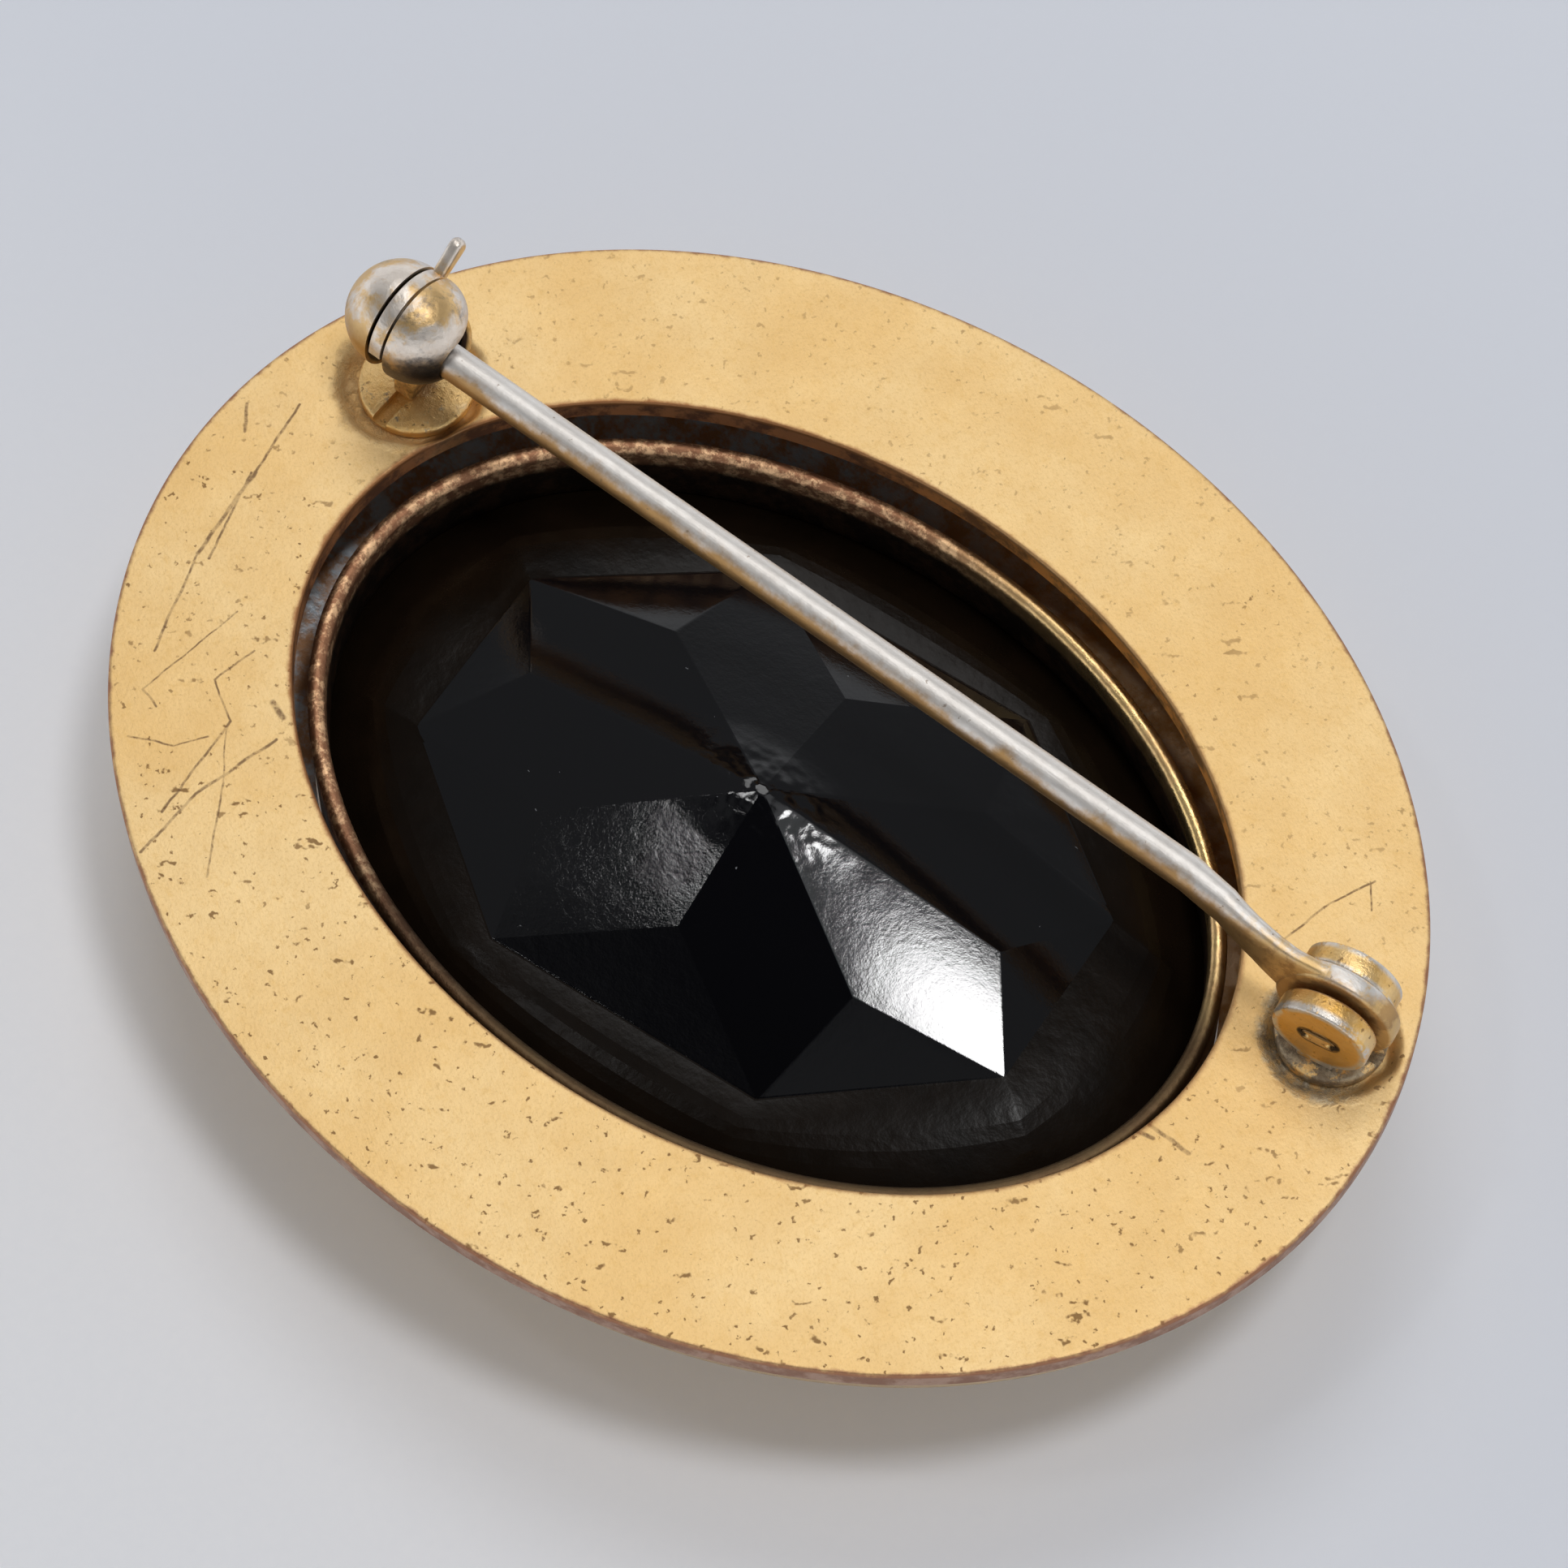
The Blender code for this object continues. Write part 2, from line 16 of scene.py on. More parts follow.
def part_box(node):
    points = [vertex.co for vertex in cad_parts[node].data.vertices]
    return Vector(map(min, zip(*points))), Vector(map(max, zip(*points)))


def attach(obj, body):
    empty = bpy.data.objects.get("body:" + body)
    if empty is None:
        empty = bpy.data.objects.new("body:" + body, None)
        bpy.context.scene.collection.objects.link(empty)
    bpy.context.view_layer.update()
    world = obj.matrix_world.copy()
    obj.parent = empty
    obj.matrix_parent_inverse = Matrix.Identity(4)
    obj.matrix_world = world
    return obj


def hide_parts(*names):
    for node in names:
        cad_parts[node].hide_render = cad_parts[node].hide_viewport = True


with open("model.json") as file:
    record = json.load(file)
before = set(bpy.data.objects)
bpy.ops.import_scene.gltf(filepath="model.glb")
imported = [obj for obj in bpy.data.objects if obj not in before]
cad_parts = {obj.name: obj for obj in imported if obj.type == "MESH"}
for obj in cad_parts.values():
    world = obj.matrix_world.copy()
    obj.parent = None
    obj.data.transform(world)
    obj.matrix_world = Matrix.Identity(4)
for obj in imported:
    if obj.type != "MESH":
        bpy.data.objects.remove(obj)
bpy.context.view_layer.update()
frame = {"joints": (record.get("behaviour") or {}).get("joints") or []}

MM = 0.001
DEG = math.pi / 180
# what is left between pieces that rest on each other, so that no two faces share a plane
HAIR = 0.02 * MM

# places read from the frame
PLATE_LOW, PLATE_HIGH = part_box("back_plate")
PLATE_A, PLATE_B, PLATE_TOP = PLATE_HIGH
SHELL_LOW, SHELL_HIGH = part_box("front_shell")
COLLAR_LOW, COLLAR_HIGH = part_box("bezel_collar")
STONE_LOW, STONE_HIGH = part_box("stone")
JOINTS = {joint["name"]: joint for joint in frame["joints"]}
HINGE = Vector(JOINTS["pin_swing"]["pos_m"])
BALL = Vector(JOINTS["catch_lock"]["pos_m"])
PIN_TIP_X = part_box("pin_stem")[0].x
BALL_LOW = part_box("catch_end_dome")[0]
ROTOR_LOW, ROTOR_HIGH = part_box("catch_rotor")
HINGE_BASE_LOW, HINGE_BASE_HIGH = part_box("hinge_base")
CATCH_BASE_LOW, CATCH_BASE_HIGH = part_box("catch_base")

# plate
GROOVE = 0.34 * MM
HOLE_A, HOLE_B = COLLAR_HIGH.x + GROOVE, COLLAR_HIGH.y + GROOVE
PLATE_EDGE = 0.1 * MM
WELL_DEPTH = 0.39 * MM
WELLS = ((-17.4 * MM, 4.21 * MM, 2.45 * MM), (18.36 * MM, 3.96 * MM, 2.15 * MM))
WELL_SLOPE = 0.5 * MM
WELL_WANDER = 0.06 * MM

# collar, shell and stone
SHELL_WALL = 0.47 * MM
COLLAR_WALL = 0.56 * MM
SEAT_GAP = 0.05 * MM
SEAT_STEP = 0.1 * MM
LIP_RISE, LIP_EDGE = 0.3 * MM, 0.09 * MM
LIP_ROUNDING_IN, LIP_ROUNDING_UP = 0.2 * MM, 0.4 * MM
GIRDLE_TOP, GIRDLE_LOW = 3.7 * MM, 3.1 * MM
GIRDLE_INSET = HOLE_A - STONE_HIGH.x
TABLE_INSET = 2.75 * MM
CULET_Z = 7.4 * MM
KITE_LONG, KITE_SHORT = 8.6 * MM, 4.64 * MM
KITE_DIAGONAL = (5.68 * MM, 3.7 * MM)
KITE_DROP = 1.5 * MM
TIP_LONG, TIP_SHORT = (10.75 * MM, 3.1 * MM), (4.82 * MM, 7.65 * MM)
FACET_TURN = 5 * DEG
CULET_SIZE = 0.03
BORDER_SWELL = 0.28 * MM
FACET_EDGE = 0.055 * MM
# the stone's facets meet at this many degrees or more
FACET_ANGLE = 7

# pin
PIN_RADIUS = 0.56 * MM
PIN_Y, PIN_Z = 4.1 * MM, PLATE_TOP + 3.44 * MM
PIN_TAPER = 2.06 * MM
PIN_ROUND_END = 12.73 * MM
PIN_BOW, PIN_BOW_LENGTH = 0.03 * MM, 9 * MM
EYE_RADIUS = 1.92 * MM
EYE_THICK = 0.65 * MM
EYE_EDGE = 0.14 * MM
EYE_SHOULDER = 0.09 * MM
# along the strip from the round wire to the eye: share of the run, share of the way over to the eye, share
# of the fall, thickness and height against the wire's, and how square the section is
PIN_FLATTENING = (
    (0.25, 0.15, 0.1, 0.86, 1.2, 2.3),
    (0.5, 0.6, 0.4, 0.68, 1.6, 2.8),
    (0.72, 1.0, 0.8, 0.56, 2.1, 3.5),
    (1.0, 1.0, 1.0, 0.52, 2.6, 4),
)

# hinge
HINGE_TURN = 9 * DEG
EAR_RADIUS = 1.54 * MM
EAR_THICK = 0.76 * MM
FRONT_GAP, REAR_GAP = 0.2 * MM, 0.11 * MM
EAR_FOOT = 1.2 * MM
EAR_EDGE = 0.17 * MM
RIVET_RADIUS, RIVET_EDGE = 0.39 * MM, 0.04 * MM
EYE_CLEARANCE, EAR_CLEARANCE = 0.05 * MM, 0.03 * MM
STAKE_REACH, STAKE_RADIUS = 0.3 * MM, 0.28 * MM
STAKE_SUNK, STAKE_PROUD = 0.1 * MM, 0.05 * MM
STAKE_EDGE = 0.03 * MM
PUNCH_RADIUS, PUNCH_TAPER, PUNCH_LENGTH = 0.13 * MM, 0.22 * MM, 0.5 * MM
PUNCH_DEPTH = 0.14 * MM
HINGE_BASE_EDGE, HINGE_SLOT_DEPTH = 0.12 * MM, 0.34 * MM

# catch
RIM_OFFSET = 0.34 * MM
BALL_RADIUS = BALL.x - BALL_LOW.x - RIM_OFFSET
DOME_WALL = 0.26 * MM
ROTOR_THICK = ROTOR_HIGH.x - ROTOR_LOW.x
ROTOR_CORE, ROTOR_RIM, ROTOR_HOLE = 1.33 * MM, 1.74 * MM, 0.69 * MM
ROTOR_SLOT = 1.03 * MM
CUP_MOUTH = 1.56 * MM
MOUTH_SHIFT = 0.12 * MM
MOUTH_RISE = 7 * DEG
ROTOR_OPEN = 75
RIM_START, RIM_END = -48, 174
LEVER_ANGLE = 31 * DEG
LEVER_LENGTH, LEVER_WIDTH, LEVER_NECK = 3.0 * MM, 0.6 * MM, 0.42 * MM
ROTOR_EDGE, LEVER_EDGE = 0.07 * MM, 0.17 * MM
# the lever is this much thinner than the rotor, so that their flat sides don't share a plane
LEVER_THINNING = 0.96
LEG_WIDTH, LEG_THICK = 1.03 * MM, 0.77 * MM
LEG_REACH, LEG_SPREAD = 1.4 * MM, 17
LEG_FLARE, LEG_EDGE = 0.2 * MM, 0.1 * MM
CATCH_BASE_EDGE, CATCH_SLOT_DEPTH, CATCH_BASE_SLOT = 0.14 * MM, 0.26 * MM, 0.52 * MM

# camera
CAMERA_TURN, CAMERA_RISE, CAMERA_ROLL = 37.9 * DEG, 63.4 * DEG, 0.5 * DEG
CAMERA_DISTANCE = 168.6 * MM
CAMERA_PAN = 0.65 * MM
CAMERA_NEAR = 5 * MM
LENS, SENSOR = 128, 36

# light: each disc's name, direction from the brooch, width and radiance
LIGHT_DISTANCE = 600 * MM
LIGHTS = (
    # the key covers what the outer half of one kite mirrors, so its edge crosses that facet
    ("key_above", (0.200, 0.099, 0.978), 110 * MM, 26),
    ("glint", (-0.307, -0.208, 0.932), 45 * MM, 16),
    ("plate_fill", (-0.33, 0.38, 0.86), 260 * MM, 3.1),
)
GLOW_TOWARDS, DARK_TOWARDS = (0.105, 0.115, 0.988), (-0.12, -0.26, 0.958)
SKY_TINT = (0.95, 0.97, 1.0, 1)
FLOOR_SIZE = 600 * MM

# spaces whose Z is the pin's or the rotor's axis, and the same at those joints
ABOUT_X = Matrix(((0, 0, 1), (1, 0, 0), (0, 1, 0))).to_4x4()
ABOUT_HINGE = Matrix.Rotation(HINGE_TURN, 4, "Z") @ Matrix.Rotation(math.pi / 2, 4, "X")
AT_BALL = Matrix.Translation(BALL) @ ABOUT_X
AT_HINGE = Matrix.Translation(HINGE) @ ABOUT_HINGE


# ---- meshes

def skin(bm, rings, closed=False):
    """Joins rings of vertices, each to the next: the last to the first if closed, else with capped ends."""
    following = rings[1:] + rings[:1] if closed else rings[1:]
    for low, high in zip(rings, following):
        count = max(len(low), len(high))
        for i in range(count):
            j = (i + 1) % count
            corners = [low[i % len(low)], low[j % len(low)], high[j % len(high)], high[i % len(high)]]
            bm.faces.new(list(dict.fromkeys(corners)))
    if not closed:
        for end in (rings[0], rings[-1]):
            if len(end) > 2:
                bm.faces.new(end)


def add_object(name, data):
    obj = bpy.data.objects.new(name, data)
    bpy.context.scene.collection.objects.link(obj)
    return obj


def finish_mesh(name, bm, mat=None, place=None, sharp=40):
    """Turns a bmesh into an object that isn't yet one of the brooch's pieces."""
    bmesh.ops.recalc_face_normals(bm, faces=bm.faces)
    mesh = bpy.data.meshes.new(name)
    bm.to_mesh(mesh)
    bm.free()
    mesh.shade_smooth()
    mesh.set_sharp_from_angle(angle=sharp * DEG)
    obj = add_object(name, mesh)
    if mat:
        mesh.materials.append(mat)
    if place:
        obj.matrix_world = place
    return obj


def piece(obj, node, body="setting"):
    """Makes obj one of the brooch's pieces, in place of a CAD node."""
    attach(obj, body)
    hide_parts(node)


def boolean(obj, tool, operation):
    """Applies a cut or a join, and removes its tool."""
    step = obj.modifiers.new("step", "BOOLEAN")
    step.operation = operation
    step.solver = "EXACT"
    step.object = tool
    apply_steps(obj)
    bpy.data.objects.remove(tool)


def cut(obj, bm, place):
    """Cuts a shape that stands at place out of an object."""
    boolean(obj, finish_mesh("tool", bm, place=place), "DIFFERENCE")


def apply_steps(obj, sharp=40):
    """Makes an object's modifiers part of its mesh."""
    bpy.context.view_layer.update()
    mesh = bpy.data.meshes.new_from_object(obj.evaluated_get(bpy.context.evaluated_depsgraph_get()))
    obj.modifiers.clear()
    obj.data = mesh
    mesh.shade_smooth()
    mesh.set_sharp_from_angle(angle=sharp * DEG)


def bevel(obj, width, segments, angle=50, sharp=50):
    """Rounds an object's edges that turn by more than angle, then marks those over sharp as crisp."""
    step = obj.modifiers.new("round", "BEVEL")
    step.width = width
    step.segments = segments
    step.limit_method = "ANGLE"
    step.angle_limit = angle * DEG
    apply_steps(obj, sharp)


def once_round(steps):
    """Evenly spaced angles in radians."""
    return [2 * math.pi * i / steps for i in range(steps)]


def on_oval(a, b, z, t):
    return (a * cos(t), b * sin(t), z)


def oval_ring(profile, steps):
    """An oval hoop whose section is a closed outline of (semi-axis a, semi-axis b, z)."""
    bm = bmesh.new()
    rings = []
    for a, b, z in profile:
        rings.append([bm.verts.new(on_oval(a, b, z, t)) for t in once_round(steps)])
    skin(bm, rings, closed=True)
    return bm


def turned(profile, steps=96):
    """A shape turned about Z from (radius, z) points. A radius of 0 closes it in a point."""
    bm = bmesh.new()
    rings = []
    for radius, z in profile:
        turns = once_round(steps) if radius else [0.0]
        rings.append([bm.verts.new(on_oval(radius, radius, z, t)) for t in turns])
    skin(bm, rings)
    return bm


def arc(radius, start, end, steps, middle=(0, 0)):
    """Points on a circle between two angles in degrees."""
    turns = [(start + (end - start) * i / steps) * DEG for i in range(steps + 1)]
    return [(middle[0] + radius * cos(t), middle[1] + radius * sin(t)) for t in turns]


def disc(radius, low, high, edge=0.0):
    """A round disc about Z, its rims rounded by edge."""
    if not edge:
        return turned([(radius, low), (radius, high)])
    small = radius - edge
    return turned(arc(edge, -90, 0, 5, (small, low + edge)) + arc(edge, 0, 90, 5, (small, high - edge)))


def box(low, high):
    """A block between two opposite corners."""
    bm = bmesh.new()
    size = [b - a for a, b in zip(low, high)]
    middle = [(a + b) / 2 for a, b in zip(low, high)]
    bmesh.ops.create_cube(bm, size=1.0, matrix=Matrix.Translation(middle) @ Matrix.Diagonal((*size, 1.0)))
    return bm


def slab(outline, low, high):
    """A flat outline of (right, up) points, given thickness from low to high."""
    bm = bmesh.new()
    rings = [[bm.verts.new((u, v, w)) for u, v in outline] for w in (low, high)]
    skin(bm, rings)
    return bm


def smooth(value):
    """0 below 0, 1 above 1, and eased between."""
    value = min(max(value, 0.0), 1.0)
    return value * value * (3 - 2 * value)


# ---- materials

class Look:
    """A node material whose patterns are measured in millimetres of the piece's own space."""

    def __init__(self, name, metallic=1.0):
        self.mat = bpy.data.materials.new(name)
        self.mat.use_nodes = True
        self.tree = self.mat.node_tree
        self.shader = self.tree.nodes["Principled BSDF"]
        self.shader.inputs["Metallic"].default_value = metallic
        coords = self.node("ShaderNodeTexCoord").outputs["Object"]
        self.mm = self.vector("SCALE", coords, scale=1 / MM)
        split = self.node("ShaderNodeSeparateXYZ", {0: self.mm})
        self.x, self.y, self.z = split.outputs
        self.height = None

    def node(self, kind, inputs=None, **settings):
        """A new node with its settings and inputs, each of which is a value or another node's output."""
        made = self.tree.nodes.new(kind)
        for key, value in settings.items():
            setattr(made, key, value)
        for key, value in (inputs or {}).items():
            self.put(made.inputs[key], value)
        return made

    def put(self, socket, value):
        """Links a socket to an output, or sets it to a number, vector or colour."""
        if isinstance(value, bpy.types.NodeSocket):
            self.tree.links.new(value, socket)
        elif isinstance(value, tuple) and len(value) == 3 and socket.type == "RGBA":
            socket.default_value = (*value, 1.0)
        else:
            socket.default_value = value

    def math(self, operation, a, b=0.0, clamp=False):
        return self.node("ShaderNodeMath", {0: a, 1: b}, operation=operation, use_clamp=clamp).outputs[0]

    def vector(self, operation, a, b=(0, 0, 0), scale=1.0):
        made = self.node("ShaderNodeVectorMath", {0: a, 1: b, 3: scale}, operation=operation)
        return made.outputs["Value" if operation in ("LENGTH", "DOT_PRODUCT") else "Vector"]

    def scaled(self, scale):
        return self.vector("MULTIPLY", self.mm, scale)

    def stretched(self, scale, turn):
        """The piece's space turned about Z by degrees, then scaled along each axis."""
        turned_mm = self.node("ShaderNodeMapping", {"Vector": self.mm, "Rotation": (0, 0, turn * DEG)})
        return self.vector("MULTIPLY", turned_mm.outputs[0], scale)

    def noise(self, scale, detail, rough, space=None, bend=0.0):
        """Noise about 0.5, with scale in features per millimetre."""
        inputs = {"Vector": space or self.mm, "Scale": scale, "Detail": detail, "Roughness": rough}
        inputs["Distortion"] = bend
        return self.node("ShaderNodeTexNoise", inputs).outputs[0]

    def step(self, value, low, high):
        """Eases from 0 at low to 1 at high, which may be the smaller of the two."""
        inputs = {"Value": value, "From Min": low, "From Max": high}
        return self.node("ShaderNodeMapRange", inputs, interpolation_type="SMOOTHSTEP").outputs[0]

    def mix(self, share, a, b):
        """A colour that goes from a to b with share."""
        made = self.node("ShaderNodeMix", data_type="RGBA")
        for socket, value in ((made.inputs[0], share), (made.inputs[6], a), (made.inputs[7], b)):
            self.put(socket, value)
        return made.outputs[2]

    def level(self, share, a, b):
        """A number that goes from a to b with share."""
        return self.node("ShaderNodeMapRange", {"Value": share, "To Min": a, "To Max": b}).outputs[0]

    def over(self, colour, share, strength, other):
        """Lays another colour over this one, where share is 1."""
        return self.mix(self.both(share, strength), colour, other)

    def patches(self, scale, detail, rough, low, high):
        """1 where noise is past high and 0 where it is short of low."""
        return self.step(self.noise(scale, detail, rough), low, high)

    def plus(self, a, b):
        return self.math("ADD", a, b)

    def minus(self, a, b):
        return self.math("SUBTRACT", a, b)

    def both(self, a, b):
        return self.math("MULTIPLY", a, b)

    def either(self, a, b):
        return self.math("MAXIMUM", a, b)

    def wobble(self, scale, reach):
        """A shift in every direction that changes from place to place, up to about half of reach."""
        shift = self.node("ShaderNodeTexNoise", {"Vector": self.mm, "Scale": scale}).outputs["Color"]
        return self.vector("SCALE", self.vector("SUBTRACT", shift, (0.5, 0.5, 0.5)), scale=reach)

    def specks(self, scale, size, share, space=None):
        """Small ragged spots: about share of the cells of a grid of scale per millimetre hold one."""
        place = self.vector("ADD", space or self.mm, self.wobble(scale * 2.5, 0.9 / scale))
        cell = self.node("ShaderNodeTexVoronoi", {"Vector": place, "Scale": scale})
        spot = self.step(cell.outputs["Distance"], size, size * 0.45)
        chosen = self.node("ShaderNodeSeparateColor", {0: cell.outputs["Color"]}).outputs[0]
        return self.both(spot, self.step(chosen, 1 - share, 1.02 - share))

    def swayed(self, wander):
        """The plate's plane, wandering a little so that straight lines in it look drawn by hand."""
        return self.vector("MULTIPLY", self.vector("ADD", self.mm, self.wobble(1.1, wander)), (1, 1, 0))

    def line(self, plane, start, end, width):
        """A scratch between two places on the plate, in millimetres."""
        a, b = Vector((*start, 0)), Vector((*end, 0))
        from_a = self.vector("SUBTRACT", plane, tuple(a))
        along = self.vector("DOT_PRODUCT", from_a, tuple((b - a) / (b - a).length_squared))
        along = self.math("MULTIPLY", along, 1.0, clamp=True)
        near = self.vector("SCALE", tuple(b - a), scale=along)
        away = self.vector("LENGTH", self.vector("SUBTRACT", from_a, near))
        return self.step(away, width, width * 0.3)

    def towards(self, direction):
        """From -1 to 1 round the oval: 1 on the side of the brooch that faces direction."""
        flat = self.scaled((MM / HOLE_A, MM / HOLE_B, 0))
        return self.vector("DOT_PRODUCT", self.vector("NORMALIZE", flat), (*direction, 0))

    def from_axis(self):
        """Millimetres from the piece's own Z axis."""
        return self.vector("LENGTH", self.scaled((1, 1, 0)))

    def ellipse(self, a, b):
        """1 on an oval of those semi-axes, less inside."""
        return self.vector("LENGTH", self.scaled((MM / a, MM / b, 0)))

    def bump(self, height, depth):
        """Adds relief, depth millimetres high where height is 1."""
        height = self.math("MULTIPLY", height, depth)
        self.height = self.math("ADD", self.height, height) if self.height else height

    def uneven(self, scale, detail, rough, depth):
        self.bump(self.noise(scale, detail, rough), depth)

    def done(self, colour, roughness, **sockets):
        """The finished material, with all its relief in one bump node."""
        self.put(self.shader.inputs["Base Color"], colour)
        self.put(self.shader.inputs["Roughness"], roughness)
        for key, value in sockets.items():
            self.put(self.shader.inputs[key.replace("_", " ")], value)
        if self.height:
            relief = self.node("ShaderNodeBump", {"Height": self.height, "Distance": MM, "Strength": 1.0})
            self.put(self.shader.inputs["Normal"], relief.outputs[0])
        return self.mat


GOLD = (0.87, 0.60, 0.27)
GOLD_LIGHT = (0.92, 0.68, 0.35)
GOLD_DEEP = (0.74, 0.45, 0.13)
COPPER = (0.42, 0.21, 0.12)
SILVER = (0.62, 0.58, 0.54)

# which way the plate's fine brushing runs, in degrees, and which way its dashes do
GRAIN_TURN, DASH_TURN = 32, -38
# sides of the oval opening
BY_CATCH, BY_HINGE, SHADED_NEAR_SIDE = (-0.99, 0.13), (0.79, 0.61), (0.61, -0.79)

# the plate's long scratches: start, end, half-width
SCRATCHES = (
    ((-19.6, 1.4), (-19.1, -1.3), 0.06),
    ((-19.1, -1.3), (-18.6, -4.6), 0.09),
    ((-18.6, -4.6), (-17.4, -8.0), 0.06),
    ((-19.2, -1.4), (-18.2, -4.5), 0.06),
    ((-20.9, 0.4), (-20.3, -0.4), 0.08),
    ((-16.3, -5.4), (-16.8, -9.2), 0.04),
    ((-16.8, -9.2), (-16.1, -9.4), 0.05),
    ((-15.0, -6.1), (-15.3, -7.6), 0.05),
    ((-15.3, -7.6), (-14.0, -8.4), 0.05),
    ((-14.0, -8.4), (-13.6, -12.0), 0.06),
    ((-12.5, -8.0), (-13.2, -10.9), 0.07),
    ((-13.2, -10.9), (-13.2, -13.4), 0.07),
    ((-14.0, -8.6), (-12.8, -10.1), 0.04),
    ((-12.8, -10.1), (-11.1, -12.8), 0.05),
    ((-14.2, -9.2), (-14.8, -10.1), 0.04),
    ((-14.8, -10.1), (-16.1, -10.7), 0.05),
    ((-13.4, -7.1), (-12.8, -7.3), 0.14),
    ((15.3, -2.2), (16.2, -2.0), 0.1),
    ((15.9, -1.7), (17.3, -1.7), 0.1),
    ((15.4, 5.5), (15.8, 7.4), 0.05),
    ((15.8, 7.4), (16.4, 8.9), 0.05),
    ((16.3, 8.8), (16.9, 8.0), 0.04),
)


def plate_pits(look):
    """Round pits of three sizes and short dashes, thickest where the plate is most worn."""
    pits = look.either(look.specks(1.9, 0.2, 0.5), look.specks(3.3, 0.24, 0.4))
    dashes = look.specks(1.25, 0.2, 0.5, look.stretched((0.42, 1.5, 1.0), DASH_TURN))
    pits = look.either(look.either(pits, dashes), look.specks(0.62, 0.09, 0.25))
    worn = look.step(look.plus(look.noise(0.22, 3, 0.6), look.both(look.y, -0.012)), 0.38, 0.62)
    return look.both(pits, look.level(worn, 0.4, 1.0))


def plate_scratches(look):
    """The long scratches, fainter in places along their way."""
    marks = 0.0
    plane = look.swayed(0.16)
    for start, end, width in SCRATCHES:
        marks = look.either(marks, look.line(plane, start, end, width))
    ragged = look.patches(1.9, 5, 0.75, 0.4, 0.6)
    return look.both(marks, look.level(ragged, 0.35, 1.0))


def plate_rims(look, colour):
    """Copper showing at both rims and down the hole's wall, which is dark by the catch."""
    ragged = look.math("MULTIPLY", look.noise(1.6, 5, 0.7), 0.018)
    outer_rim = look.step(look.plus(look.ellipse(PLATE_A, PLATE_B), ragged), 1.001, 1.009)
    inner_rim = look.step(look.minus(look.ellipse(HOLE_A, HOLE_B), ragged), 1.006, 0.993)
    colour = look.mix(outer_rim, colour, COPPER)
    by_catch = look.step(look.towards(BY_CATCH), -0.1, 0.6)
    rubbed = look.both(inner_rim, look.level(by_catch, 0.6, 0.95))
    colour = look.mix(rubbed, colour, (0.38, 0.17, 0.07))
    top = PLATE_TOP / MM
    side = look.step(look.z, top - 0.12, top - 0.22)
    in_hole = look.both(side, look.step(look.ellipse(HOLE_A, HOLE_B), 1.03, 1.01))
    at_rim = look.both(side, look.step(look.ellipse(PLATE_A, PLATE_B), 0.985, 0.995))
    stain = look.patches(0.8, 5, 0.7, 0.42, 0.6)
    dark_wall = look.mix(stain, (0.52, 0.27, 0.13), (0.20, 0.11, 0.07))
    bright_wall = look.mix(look.both(stain, 0.7), (0.80, 0.42, 0.13), (0.10, 0.07, 0.05))
    colour = look.mix(in_hole, colour, look.mix(by_catch, bright_wall, dark_wall))
    return look.mix(at_rim, colour, look.mix(stain, (0.34, 0.19, 0.13), (0.50, 0.34, 0.26)))


def plate_solder(look, colour):
    """Grey solder in each well's lower left, and rubbed slopes. Returns the solder and its patches too."""
    solder, slope = 0.0, 0.0
    plane = look.scaled((1, 1, 0))
    uneven = look.both(look.minus(look.noise(0.9, 4, 0.7), 0.5), 0.7)
    for x, y, radius in WELLS:
        rim = radius / MM
        from_middle = look.vector("SUBTRACT", plane, (x / MM, y / MM, 0))
        away = look.plus(look.vector("LENGTH", from_middle), uneven)
        lower_left = look.step(look.vector("DOT_PRODUCT", from_middle, (-0.5, -0.87, 0)), -0.6, 1.0)
        fillet = look.both(look.step(away, rim - 1.1, rim - 0.6), look.step(away, rim + 0.2, rim - 0.15))
        solder = look.either(solder, look.both(lower_left, fillet))
        edge = look.both(look.step(away, rim - 0.5, rim - 0.2), look.step(away, rim + 0.05, rim - 0.15))
        slope = look.either(slope, edge)
    patchy = look.patches(1.7, 5, 0.78, 0.38, 0.6)
    near_hinge = look.step(look.x, 10, 14)
    grey = look.mix(look.patches(2.4, 5, 0.75, 0.4, 0.62), (0.66, 0.59, 0.46), (0.36, 0.30, 0.23))
    share = look.both(look.both(solder, patchy), look.level(near_hinge, 0.2, 0.95))
    colour = look.mix(share, colour, grey)
    colour = look.over(colour, slope, 0.3, (0.50, 0.36, 0.18))
    return colour, solder, patchy


